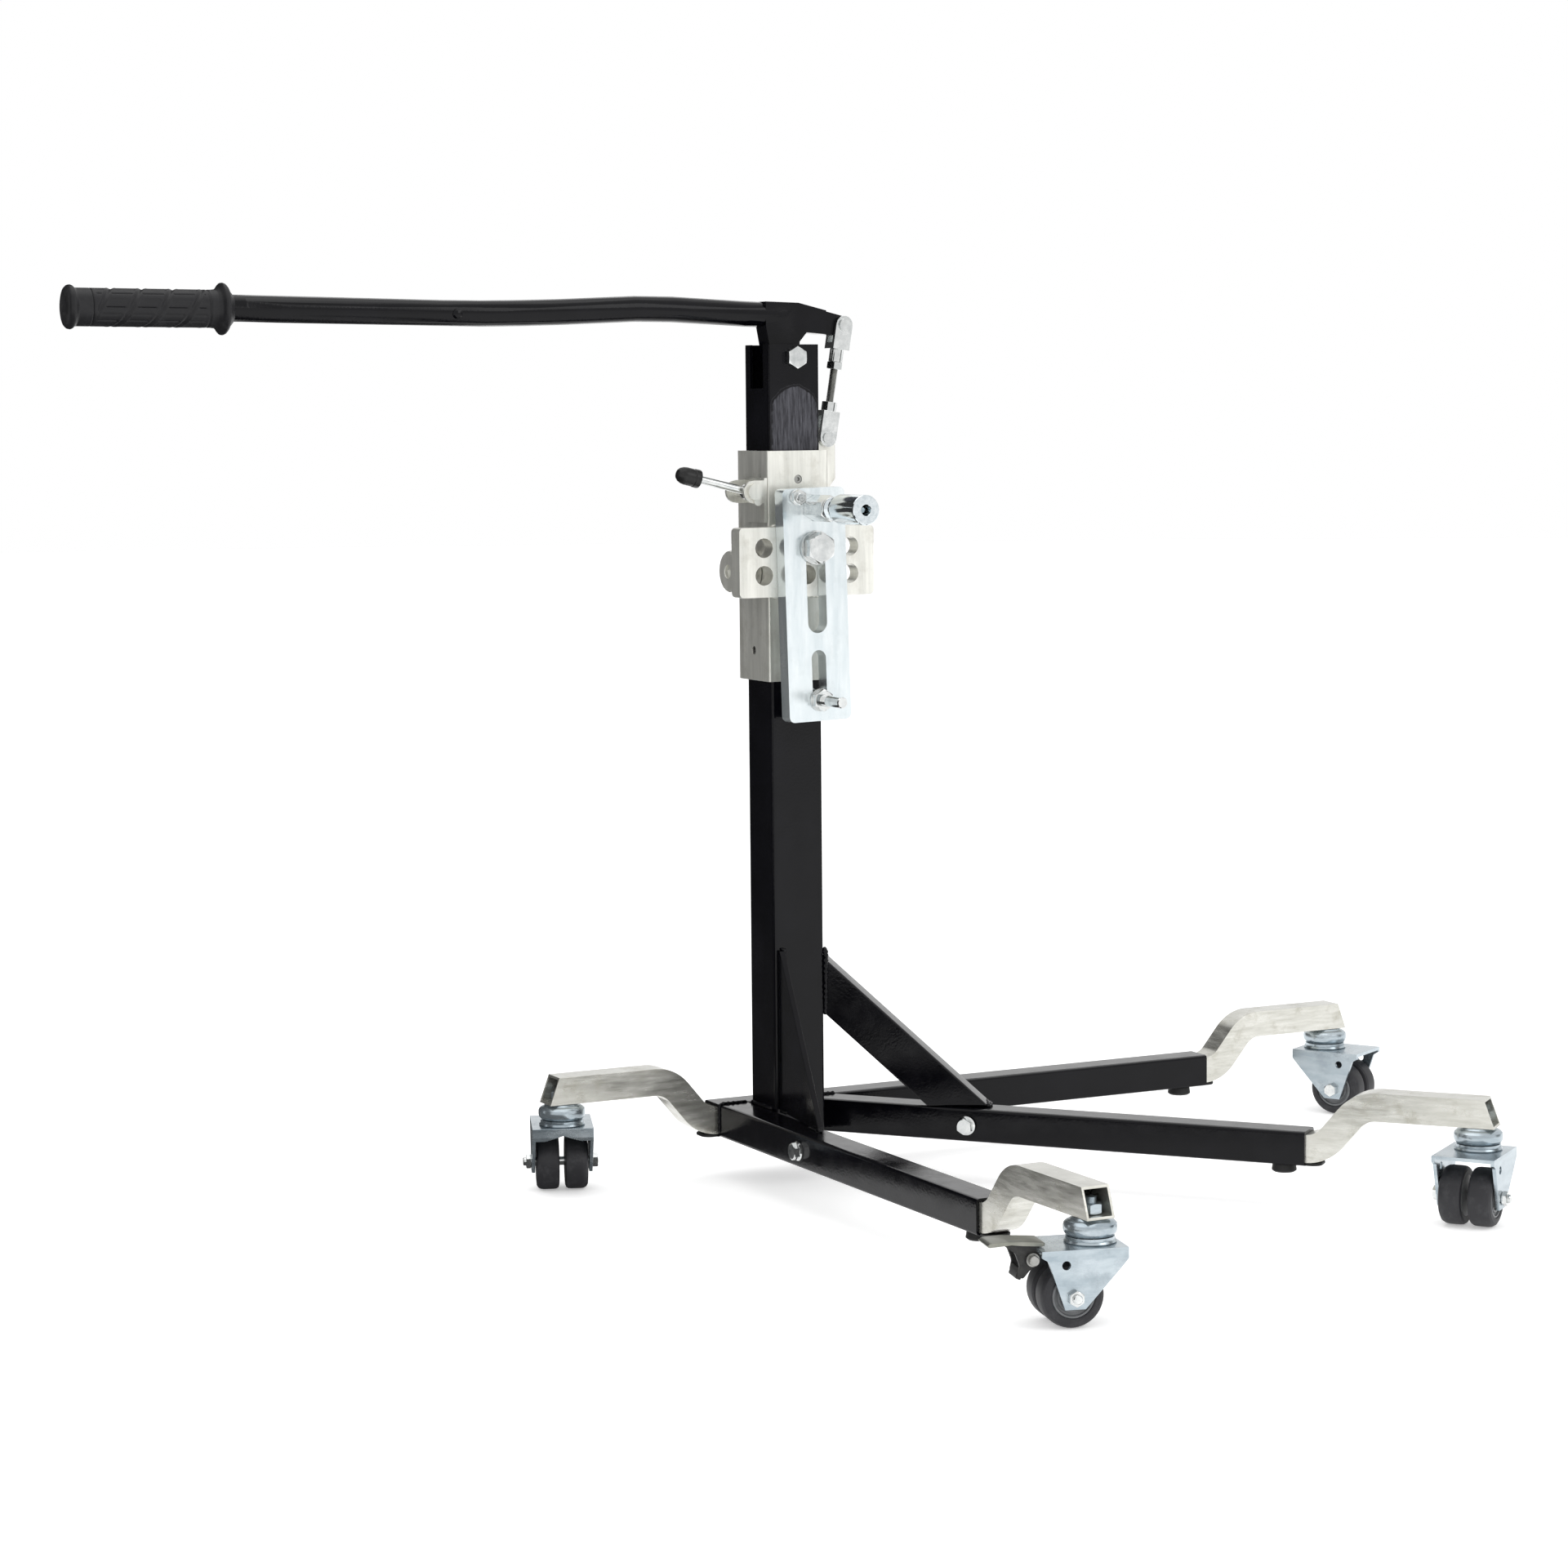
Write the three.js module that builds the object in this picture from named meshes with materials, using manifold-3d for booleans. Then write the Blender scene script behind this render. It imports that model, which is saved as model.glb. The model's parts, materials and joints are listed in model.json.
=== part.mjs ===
// Lever-operated central lift stand for motorcycles: a square mast on a four-castor base,
// a sliding carriage raised by a hand lever through a turnbuckle link, and a slotted
// adapter plate that carries the frame pin. Millimetres, +Z up, floor at z = 0.
// The design frame has the mast axis at x = y = 0; the lever's grip points to -Y and the
// adapter plate faces +X. The finished group is moved so that its origin is the centre of
// its footprint on the floor.
import * as THREE from 'three';
import { mergeVertices } from 'three/addons/utils/BufferGeometryUtils.js';
import Module from 'manifold-3d';

const wasm = await Module();
wasm.setup();

// ---------------------------------------------------------------- driving dimensions
const gap = 0.3;                 // clearance between touching pieces
const slideGap = 0.6;            // clearance between pieces that slide or turn

const beam = { size: 30, wall: 2.5, radius: 3, bottom: 38 };
const mast = { size: 50, wall: 3, radius: 4, top: 745, slotWidth: 26, slotDepth: 38 };
const corner = { spineRoom: 2, crossRoom: 1 };      // room between the mast and the tubes beside it
const spine = {
  x: -(mast.size / 2 + corner.spineRoom + beam.size / 2),
  start: -(mast.size / 2 + corner.crossRoom + beam.size),
  end: 464,
};
const cross = { y: -(mast.size / 2 + corner.crossRoom + beam.size / 2), end: 438 };
const leg = { angle: 39.7, startY: -cross.y, length: 462 };
const brace = { width: 26, depth: 37, angle: 57, top: 184, along: 128 };
const gusset = { height: 143, reach: 108, thickness: 5, turn: -9, y: -19 };

const arm = { wall: 2, insert: 60, rise: 40, bendRadius: 30, bendAngle: 50, reach: 147, overhang: 16, slant: 9 };
const foot = { radius: 11, height: 8, inset: 22, pegRadius: 3 };
const castor = {
  wheelRadius: 25, wheelWidth: 46, groove: 5, trail: 20, axleRadius: 4, forkGap: 48, sheet: 3,
  forkTop: 61.5, raceRadius: 19, headRadius: 20.7, headTop: 81, stemRadius: 5, nutFlats: 17, nutHeight: 8,
  holeRadius: 3.5, holeAlong: 27, holeZ: 50,
};
const baseBolt = { flats: 13, flange: 17, shank: 8, crossAt: 130, legAt: 153 };

const pivot = { z: mast.top - 11.4, bolt: 10, flats: 17 };
const lever = { tube: 22, wall: 2, lift: 38, reach: 636, plate: 20, armY: mast.size / 2 + 33.5, armZ: 28.8, tongue: 8 };
const grip = { length: 140, wall: 4.2, endFlange: 18, innerFlange: 21.5 };
const link = { length: 100.9, tilt: 9.4, pin: 8, ear: 4, width: 16, rod: 7, nutFlats: 13 };

const sleeve = { size: mast.size + 10, wall: 3, radius: 2, bottom: 450.5, height: 202 };
const liner = { height: 32 };
const grub = { radius: 3.5, z: 627.5, lowZ: 477 };
const holder = { width: 132, height: 61, thickness: 16, hole: 17, pitchY: 42, pitchZ: 24, topRow: 568.6, bottom: 525.5 };
const plate = { width: 60.5, height: 203.5, thickness: 15, top: 620.5, tilt: 1.6, radius: 5 };
const slot = { width: 18.6, bottom: 494, top: 580 };
const lowSlot = { width: 14, bottom: 428.5, top: 479 };
const clampBolt = { thread: 16, flats: 24, head: 10, washer: 15, washerThickness: 3 };
const pin = { z: 603, radius: 13, end: 158.4, neck: 9.5, neckEnd: 112, nutFlats: 20, nut: 36, bore: 4.5, boreDepth: 30 };
const stop = { y: -16.5, z: 613, thread: 8, flats: 12 };
const stud = { z: 435.5, thread: 10, end: 104, flats: 17, nut: 8, back: 6 };
// Heights on the carriage are drawn with the link's lower pin at lug.pinZ.
const lug = { thickness: 6, pinZ: 662.855, y: mast.size / 2 + 26, bottom: 617, above: 9 };
const boss = { radius: 18.5, length: 25, z: 547 };
const latch = {
  x: 11, y: -(mast.size / 2 + 18), z: 617, pin: 8, head: 14.4, barrel: 14, barrelLength: 12, barrelX: 20.5, rod: 7, reach: 66, rise: 16,
  cap: 16, capLength: 22, plateBottom: 590, plateTop: 629, sheet: 3, halfWidth: 19,
};

// ---------------------------------------------------------------- colours
const finish = (color, roughness, metalness) => new THREE.MeshStandardMaterial({ color, roughness, metalness });
const black = finish(0x0b0b0f, 0.22, 0.2);
const zinc = finish(0xc9cec9, 0.34, 0.9);
const blueZinc = finish(0xb7c4c8, 0.26, 0.95);
const nickel = finish(0xbfb8a6, 0.3, 0.9);
const rubber = finish(0x131313, 0.75, 0);
const tyre = finish(0x2d2d30, 0.65, 0);
const nylon = finish(0xe6e4da, 0.5, 0);
const pedalMetal = finish(0x8c8d80, 0.42, 0.7);

// ---------------------------------------------------------------- geometry helpers
const rad = THREE.MathUtils.degToRad;
const X = new THREE.Vector3(1, 0, 0);
const Y = new THREE.Vector3(0, 1, 0);
const Z = new THREE.Vector3(0, 0, 1);
const planDirection = (degrees) => new THREE.Vector3(Math.cos(rad(degrees)), Math.sin(rad(degrees)), 0);

function solidOf(geometry) {
  const bare = geometry.clone();
  bare.deleteAttribute('normal');
  bare.deleteAttribute('uv');
  const merged = mergeVertices(bare, 1e-4);
  const vertProperties = new Float32Array(merged.attributes.position.array);
  const triVerts = new Uint32Array(merged.index.array);
  return new wasm.Manifold(new wasm.Mesh({ numProp: 3, vertProperties, triVerts }));
}

function geometryOf(solid) {
  const mesh = solid.getMesh();
  const geometry = new THREE.BufferGeometry();
  geometry.setAttribute('position', new THREE.BufferAttribute(mesh.vertProperties, 3));
  geometry.setIndex(new THREE.BufferAttribute(mesh.triVerts, 1));
  return geometry;
}

function cut(base, ...tools) {
  return geometryOf(tools.reduce((solid, tool) => solid.subtract(solidOf(tool)), solidOf(base)));
}

function join(base, ...others) {
  return geometryOf(others.reduce((solid, other) => solid.add(solidOf(other)), solidOf(base)));
}

function signedVolume(geometry) {
  const position = geometry.attributes.position;
  const order = geometry.index ? geometry.index.array : position.array.map((_, i) => i);
  const corner = [new THREE.Vector3(), new THREE.Vector3(), new THREE.Vector3()];
  let volume = 0;
  for (let i = 0; i < (geometry.index ? geometry.index.count : position.count); i += 3) {
    corner.forEach((point, k) => point.fromBufferAttribute(position, order[i + k]));
    volume += corner[0].dot(corner[1].cross(corner[2])) / 6;
  }
  return volume;
}

function facingOut(geometry) {
  if (signedVolume(geometry) >= 0) return geometry;
  const index = geometry.index.array;
  for (let i = 0; i < index.length; i += 3) {
    [index[i + 1], index[i + 2]] = [index[i + 2], index[i + 1]];
  }
  return geometry;
}

// A box between two corners.
function box(x0, x1, y0, y1, z0, z1) {
  const geometry = new THREE.BoxGeometry(x1 - x0, y1 - y0, z1 - z0);
  return geometry.translate((x0 + x1) / 2, (y0 + y1) / 2, (z0 + z1) / 2);
}

// A turned piece: [radius, height] points around +Z, moved so that Z points along the axis.
function turned(points, axis = Z, at = new THREE.Vector3(), segments = 18) {
  const outline = points.map(([r, h]) => new THREE.Vector2(r, h));
  const geometry = new THREE.LatheGeometry(outline, segments).rotateX(Math.PI / 2);
  const merged = facingOut(weld(geometry));
  const up = Math.abs(axis.z) > 0.99 ? Y : Z;
  const top = up.clone().addScaledVector(axis, -up.dot(axis)).normalize();
  const side = new THREE.Vector3().crossVectors(top, axis);
  merged.applyMatrix4(new THREE.Matrix4().makeBasis(side, top, axis));
  return merged.translate(at.x, at.y, at.z);
}

function weld(geometry) {
  geometry.deleteAttribute('normal');
  geometry.deleteAttribute('uv');
  const merged = mergeVertices(geometry, 1e-4);
  const kept = [];
  const index = merged.index.array;
  for (let i = 0; i < index.length; i += 3) {
    const [a, b, c] = [index[i], index[i + 1], index[i + 2]];
    if (a !== b && b !== c && a !== c) kept.push(a, b, c);
  }
  merged.setIndex(kept);
  return merged;
}

// A round bar from one height to another along an axis through a point.
function bar(radius, from, to, axis = Z, at = new THREE.Vector3(), segments = 12) {
  return turned([[0, from], [radius, from], [radius, to], [0, to]], axis, at, segments);
}

// A hexagonal bar with the given width across flats.
function hexBar(flats, from, to, axis = Z, at = new THREE.Vector3()) {
  return bar(flats / Math.sqrt(3), from, to, axis, at, 6);
}

// An outline in a vertical plane, extruded across it. `along` is the horizontal direction of
// the outline's first coordinate; the extrusion is centred on the plane through `at`.
function upright(outline, width, along = X, at = new THREE.Vector3(), holes = []) {
  const shape = Array.isArray(outline) ? new THREE.Shape(outline.map(([s, z]) => new THREE.Vector2(s, z))) : outline;
  shape.holes.push(...holes);
  const geometry = new THREE.ExtrudeGeometry(shape, { depth: width, bevelEnabled: false, curveSegments: 4 });
  geometry.translate(0, 0, -width / 2);
  const across = new THREE.Vector3().crossVectors(along, Z);
  geometry.applyMatrix4(new THREE.Matrix4().makeBasis(along, Z, across));
  return weld(geometry).translate(at.x, at.y, at.z);
}

// A rounded rectangle centred on a point.
function roundedRectangle(width, height, radius, cx = 0, cy = 0) {
  const shape = new THREE.Shape();
  const [w, h] = [width / 2 - radius, height / 2 - radius];
  shape.absarc(cx + w, cy - h, radius, -Math.PI / 2, 0);
  shape.absarc(cx + w, cy + h, radius, 0, Math.PI / 2);
  shape.absarc(cx - w, cy + h, radius, Math.PI / 2, Math.PI);
  shape.absarc(cx - w, cy - h, radius, Math.PI, 1.5 * Math.PI);
  return shape;
}

// A square tube with open ends, from a point along a direction.
function squareTube(size, wall, radius, length, from, direction) {
  const section = roundedRectangle(size, size, radius);
  section.holes.push(roundedRectangle(size - 2 * wall, size - 2 * wall, Math.max(radius - wall, 0.5)));
  const geometry = new THREE.ExtrudeGeometry(section, { depth: length, bevelEnabled: false, curveSegments: 1 });
  const up = Math.abs(direction.z) > 0.9 ? Y : Z;
  const side = new THREE.Vector3().crossVectors(up, direction).normalize();
  const top = new THREE.Vector3().crossVectors(direction, side);
  geometry.applyMatrix4(new THREE.Matrix4().makeBasis(side, top, direction));
  return weld(geometry).translate(from.x, from.y, from.z);
}

function node(name, geometry, material) {
  const shown = geometry.index ? geometry.toNonIndexed() : geometry;
  shown.computeVertexNormals();
  const mesh = new THREE.Mesh(shown, material);
  mesh.name = name;
  return mesh;
}

// ---------------------------------------------------------------- base frame
const beamZ = beam.bottom + beam.size / 2;
const beamTop = beam.bottom + beam.size;
const half = beam.size / 2;
const crossStart = spine.x + half + gap;
const legDirection = planDirection(leg.angle);
const legStart = new THREE.Vector3(spine.x + half, leg.startY, beamZ);
const legEnd = legStart.clone().addScaledVector(legDirection, leg.length);
const bore = beam.size - 2 * beam.wall;

// The four tube ends: where each is, which way it points, and where its castor trails.
const ends = [
  { name: 'left', at: new THREE.Vector3(spine.x, spine.start, beamZ), way: new THREE.Vector3(0, -1, 0), trail: 159 },
  { name: 'front', at: new THREE.Vector3(cross.end, cross.y, beamZ), way: X, trail: 256.3 },
  { name: 'right', at: legEnd, way: legDirection, trail: -53.5 },
  { name: 'back', at: new THREE.Vector3(spine.x, spine.end, beamZ), way: Y, trail: 30.5 },
];

function footPoint(end) {
  return end.at.clone().addScaledVector(end.way, -foot.inset).setZ(beam.bottom);
}

// A hole for the foot's peg in the tube's lower wall.
function pegHole(end) {
  return bar(foot.pegRadius + gap, -1, beam.wall + 1, Z, footPoint(end), 12);
}

function boltHole(at, across) {
  return bar(baseBolt.shank / 2 + gap, -beam.size, beam.size, across, at, 12);
}

const crossBoltAt = new THREE.Vector3(baseBolt.crossAt, cross.y, beamZ);
const legBoltAt = legStart.clone().addScaledVector(legDirection, baseBolt.legAt);
const legAcross = new THREE.Vector3().crossVectors(legDirection, Z);

function spineTube() {
  const length = spine.end - spine.start;
  const tube = squareTube(beam.size, beam.wall, beam.radius, length, ends[0].at, Y);
  return node('spine_tube', cut(tube, pegHole(ends[3])), black);
}

function crossTube() {
  const from = new THREE.Vector3(crossStart, cross.y, beamZ);
  const tube = squareTube(beam.size, beam.wall, beam.radius, cross.end - crossStart, from, X);
  return node('cross_tube', cut(tube, pegHole(ends[1]), boltHole(crossBoltAt, Y)), black);
}

// The diagonal leg is mitred against the side of the spine.
function diagonalLeg() {
  const from = legStart.clone().addScaledVector(legDirection, -beam.size);
  const tube = squareTube(beam.size, beam.wall, beam.radius, leg.length + beam.size, from, legDirection);
  const spineSide = spine.x + half + gap;
  const waste = box(spineSide - 4 * beam.size, spineSide, leg.startY - 120, leg.startY + 120, 0, 2 * beamTop);
  return node('diagonal_leg', cut(tube, waste, pegHole(ends[2]), boltHole(legBoltAt, legAcross)), black);
}

// The mast stands in the corner of spine and cross tube; its head is slotted for the lever.
function mastTube() {
  const from = new THREE.Vector3(0, 0, beam.bottom);
  const tube = squareTube(mast.size, mast.wall, mast.radius, mast.top - beam.bottom, from, Z);
  const w = mast.slotWidth / 2;
  const reach = mast.size;
  const headSlot = box(-w, w, -reach, reach, mast.top - mast.slotDepth, mast.top + 1);
  const pivotHole = bar(pivot.bolt / 2 + gap, -reach, reach, X, new THREE.Vector3(0, 0, pivot.z), 12);
  return node('mast', cut(tube, headSlot, pivotHole), black);
}

function gussetPlate() {
  const outline = [[0, 0], [gusset.reach, 0], [gusset.reach, 4], [4, gusset.height], [0, gusset.height]];
  const at = new THREE.Vector3(mast.size / 2 + 2 * gap, gusset.y, beamTop + gap);
  return node('gusset', upright(outline, gusset.thickness, planDirection(gusset.turn), at), black);
}

// The diagonal brace runs from the mast's rear face down onto the diagonal leg.
function braceTube() {
  const direction = planDirection(brace.angle);
  const start = new THREE.Vector3(mast.size / 2 - brace.width / 2 - 4, mast.size / 2, 0);
  const slope = (brace.top - beamTop) / brace.along;
  const halfRise = brace.depth / 2 * Math.sqrt(1 + slope * slope);
  const line = (s) => brace.top - slope * s;
  const reach = brace.along + 60;
  const outline = [[-40, line(-40) - halfRise], [reach, line(reach) - halfRise], [reach, line(reach) + halfRise], [-40, line(-40) + halfRise]];
  const solid = upright(outline, brace.width, direction, start);
  const behindFace = box(-300, 300, -300, mast.size / 2 + gap, -200, 600);
  const underTop = box(-300, 400, -300, 400, -400, beamTop + gap);
  return node('brace', cut(solid, behindFace, underTop), black);
}

// ---------------------------------------------------------------- bent arms and feet
const armSize = bore - 2 * gap;
const armRun = (() => {
  const angle = rad(arm.bendAngle);
  const straight = (arm.rise - 2 * arm.bendRadius * (1 - Math.cos(angle))) / Math.sin(angle);
  return { angle, straight, length: 2 * arm.bendRadius * Math.sin(angle) + straight * Math.cos(angle) };
})();

// The S-bend's side outline: a band of the given depth, level, up and level again.
function armOutline(depth, startS, endTop, endBottom) {
  const shape = new THREE.Shape();
  const h = depth / 2;
  const R = arm.bendRadius;
  const a = armRun.angle;
  const quarter = Math.PI / 2;
  shape.moveTo(startS, -h);
  shape.absarc(0, R, R + h, -quarter, -quarter + a, false);
  shape.absarc(armRun.length, arm.rise - R, R - h, quarter + a, quarter, true);
  shape.lineTo(endBottom, arm.rise - h);
  shape.lineTo(endTop, arm.rise + h);
  shape.absarc(armRun.length, arm.rise - R, R + h, quarter, quarter + a, false);
  shape.absarc(0, R, R - h, -quarter + a, -quarter, true);
  shape.lineTo(startS, h);
  return shape;
}

function bentArm(end) {
  const bottomEnd = arm.reach + arm.overhang;
  const topEnd = bottomEnd - arm.slant;
  const inner = armSize - 2 * arm.wall;
  const outside = upright(armOutline(armSize, -arm.insert, topEnd, bottomEnd), armSize, end.way, end.at);
  const inside = upright(armOutline(inner, -arm.insert - 5, topEnd + 20, bottomEnd + 20), inner, end.way, end.at);
  const castorAt = end.at.clone().addScaledVector(end.way, arm.reach);
  const stemHole = bar(castor.stemRadius + gap, 0, arm.rise, Z, castorAt, 16);
  const parts = [stemHole];
  if (end.name !== 'left') parts.push(bar(foot.pegRadius + 3, -half, 0, Z, footPoint(end).setZ(beamZ), 12));
  return node(`arm_${end.name}`, cut(outside, inside, ...parts), nickel);
}

function rubberFoot(end) {
  const r = foot.radius;
  const h = foot.height;
  const peg = foot.pegRadius;
  const points = [[0, -h], [r - 2, -h], [r, -h + 1.5], [r - 1, -gap], [peg, -gap], [peg, beam.wall + 1], [0, beam.wall + 1]];
  return node(`foot_${end.name}`, turned(points, Z, footPoint(end), 16), rubber);
}

// A flanged bolt with its nut, through both walls of a tube.
function throughBolt(name, at, across, size, width, flats, flange, headHeight, nutHeight) {
  const face = width / 2 + gap;
  const head = hexBar(flats, face, face + headHeight, across, at);
  const collar = bar(flange / 2, face, face + 2, across, at);
  const shank = bar(size / 2, -face - nutHeight - 2, face + 1, across, at, 12);
  const nut = hexBar(flats, -face - nutHeight, -face, across, at);
  return node(name, join(shank, collar, head, nut), zinc);
}

// ---------------------------------------------------------------- castors
const wheelZ = castor.wheelRadius;
const sidePlate = castor.forkGap + 2 * castor.sheet;

function castorHead(end, at) {
  const stemTop = castor.headTop + arm.wall + castor.nutHeight + 5;
  const r = castor.headRadius;
  const top = castor.headTop - gap;
  const race = castor.forkTop + 5 + slideGap;
  const under = castor.forkTop - castor.sheet - slideGap;
  const stem = castor.stemRadius;
  const points = [
    [0, under - 3], [9, under - 3], [9, under], [stem, under], [stem, race], [r - 3, race], [r, race + 3], [r, top - 5],
    [r - 4, top - 1], [r - 7, top], [stem, top], [stem, stemTop], [0, stemTop],
  ];
  const nutFrom = castor.headTop + arm.wall + gap;
  const nut = hexBar(castor.nutFlats, nutFrom, nutFrom + castor.nutHeight, Z, at);
  return node(`castor_${end.name}_head`, join(turned(points, Z, at, 18), nut), blueZinc);
}

// The fork's side view, with the trail as its first coordinate.
function forkOutline() {
  const top = castor.forkTop;
  return [[-22, top], [-22, 53], [-15, 45], [12, 16], [28, 16], [41, top - 8], [46, top - 5], [46, top]];
}

function castorFork(end, at) {
  const trail = planDirection(end.trail);
  const across = new THREE.Vector3().crossVectors(trail, Z);
  const w = castor.forkGap / 2;
  const top = castor.forkTop;
  const block = upright(forkOutline(), sidePlate, trail, at);
  const wheelRoom = upright([[-22 + castor.sheet, 0], [60, 0], [60, top - castor.sheet], [-22 + castor.sheet, top - castor.sheet]],
    castor.forkGap, trail, at);
  const arch = upright(new THREE.Shape().absellipse(0, 36, w - 1, 19, 0, 2 * Math.PI), 16, across,
    at.clone().addScaledVector(trail, -22));
  const axleHole = bar(castor.axleRadius + gap, -w - 10, w + 10, across,
    at.clone().addScaledVector(trail, castor.trail).setZ(wheelZ), 12);
  const sideHole = bar(castor.holeRadius, -w - 10, w + 10, across,
    at.clone().addScaledVector(trail, castor.holeAlong).setZ(castor.holeZ), 16);
  const race = bar(castor.raceRadius, top - 1, top + 5, Z, at, 18);
  const kingHole = bar(castor.stemRadius + slideGap, 0, top + 10, Z, at, 12);
  return node(`castor_${end.name}_fork`, cut(join(block, race), wheelRoom, arch, axleHole, kingHole, sideHole), blueZinc);
}

// Two tyres on one hub, with a deep groove between them.
function twinWheel(end, at) {
  const across = new THREE.Vector3().crossVectors(planDirection(end.trail), Z);
  const w = castor.wheelWidth / 2;
  const g = castor.groove / 2;
  const r = castor.wheelRadius;
  const bore = castor.axleRadius + slideGap;
  const side = [[13, w - 1], [r - 3.5, w - 0.5], [r - 1, w - 2], [r, w - 5]];
  const groove = [[r, g + 4], [r - 1.2, g + 1.4], [r - 10, g]];
  const halfProfile = [[bore, w], ...side, ...groove];
  const mirrored = halfProfile.map(([radius, h]) => [radius, -h]).reverse();
  const wheelAt = at.clone().addScaledVector(planDirection(end.trail), castor.trail).setZ(wheelZ);
  return node(`castor_${end.name}_wheel`, turned([...halfProfile, ...mirrored, halfProfile[0]], across, wheelAt, 24), tyre);
}

function castorAxle(end, at) {
  const across = new THREE.Vector3().crossVectors(planDirection(end.trail), Z);
  const wheelAt = at.clone().addScaledVector(planDirection(end.trail), castor.trail).setZ(wheelZ);
  return throughBolt(`castor_${end.name}_axle`, wheelAt, across, 2 * castor.axleRadius, sidePlate, 11, 12, 5, 5);
}

// The front castor's pedal turns on a pin behind the wheel and presses a shoe on the tyre.
function brakePedal(end, at) {
  const trail = planDirection(end.trail);
  const top = castor.forkTop + slideGap;
  const outline = [[33, top], [47.5, top], [44.5, 53], [47, 48], [50, 42], [57, 38], [60, 42], [54, 53], [58, 60],
    [83, 63.5], [84, 67.5], [60, 66.5], [33, top + 4]];
  const blade = upright(outline, 28, trail, at);
  const across = new THREE.Vector3().crossVectors(trail, Z);
  const pinAt = at.clone().addScaledVector(trail, 49.5).setZ(53);
  return node('brake_pedal', join(blade, bar(4, -20, 20, across, pinAt, 12)), pedalMetal);
}

// ---------------------------------------------------------------- lever
const lowPinY = lever.armY - link.length * Math.sin(rad(link.tilt));
const lowPinZ = pivot.z + lever.armZ - link.length * Math.cos(rad(link.tilt));
const tubeZ = pivot.z + lever.lift;

// The lever tube is straight inside the grip and then gently waved, as [y, height] points.
const leverTip = new THREE.Vector3(0, -lever.reach, tubeZ + 5);
const leverKnee = new THREE.Vector3(0, -lever.reach + grip.length, tubeZ + 3.6);
const leverWay = leverKnee.clone().sub(leverTip).normalize();

function leverPath() {
  const heights = [[-400, 1.5], [-284, 0], [-210, 1.5], [-131, 4.5], [-75, 2.5], [-20, -0.5], [0, -1]];
  const points = heights.map(([y, dz]) => new THREE.Vector3(0, y, tubeZ + dz));
  return new THREE.CatmullRomCurve3([leverKnee, ...points]);
}

function leverTube(radius, sides, overrun) {
  const straight = bar(radius, -overrun, leverTip.distanceTo(leverKnee) + 1, leverWay, leverTip, sides);
  return join(straight, sweptRod(leverPath(), radius, 14, sides));
}

function sweptRod(path, radius, steps, sides) {
  const section = new THREE.Shape().absarc(0, 0, radius, 0, 2 * Math.PI);
  const geometry = new THREE.ExtrudeGeometry(section, { steps, curveSegments: sides / 2, extrudePath: path });
  return facingOut(weld(geometry));
}

function leverArm() {
  const outerTube = leverTube(lever.tube / 2, 12, 0);
  const innerTube = leverTube(lever.tube / 2 - lever.wall, 8, 5);
  const clear = box(-50, 50, -40, 50, 0, 1000);
  const stem = 12;
  const top = tubeZ + lever.tube / 2;
  const armTop = pivot.z + lever.armZ + 9;
  const hub = [
    [-20, tubeZ - 10], [-14, pivot.z - 4], [-8, pivot.z - stem], [8, pivot.z - stem], [stem, pivot.z - 4], [13, pivot.z + 14],
    [20, pivot.z + 22], [lever.armY - 12, pivot.z + lever.armZ - 9], [lever.armY + 2, pivot.z + lever.armZ - 9],
    [lever.armY + 9, pivot.z + lever.armZ], [lever.armY + 4, armTop - 2], [12, top - 1], [-20, top],
  ];
  const plate = upright(hub, lever.plate, Y);
  const cheek = (x0, x1) => box(x0, x1, lever.armY - 19, lever.armY + 30, 0, 1000);
  const side = lever.plate / 2 + 1;
  const tongue = lever.tongue / 2;
  const armHole = bar(link.pin / 2 + gap, -side, side, X, new THREE.Vector3(0, lever.armY, pivot.z + lever.armZ), 12);
  const pivotHole = bar(pivot.bolt / 2 + gap, -side, side, X, new THREE.Vector3(0, 0, pivot.z), 12);
  const hollow = cut(innerTube, clear);
  const solid = join(cut(outerTube, hollow), plate);
  return node('lever_arm', cut(solid, cheek(-side, -tongue), cheek(tongue, side), armHole, pivotHole), black);
}

// The rubber grip is a sleeve closed at its outer end, with a flange at each end.
function leverGrip() {
  const r = lever.tube / 2 + gap;
  const body = r + grip.wall;
  const end = grip.endFlange;
  const inner = grip.innerFlange;
  const length = grip.length;
  const points = [
    [0, 0], [end - 3, 0], [end, 3], [end, 6.5], [end - 2, 8.5], [body, 9], [body, length - 13], [inner - 3, length - 11],
    [inner, length - 8], [inner, length - 4], [inner - 3, length], [r, length], [r, 9], [0, 9],
  ];
  const at = leverTip.clone().addScaledVector(leverWay, -9 - gap);
  return node('grip', turned(points, leverWay, at, 20), rubber);
}

function pivotBolt() {
  return throughBolt('pivot_bolt', new THREE.Vector3(0, 0, pivot.z), X, pivot.bolt, mast.size, pivot.flats, 18, 7, 8);
}

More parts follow.
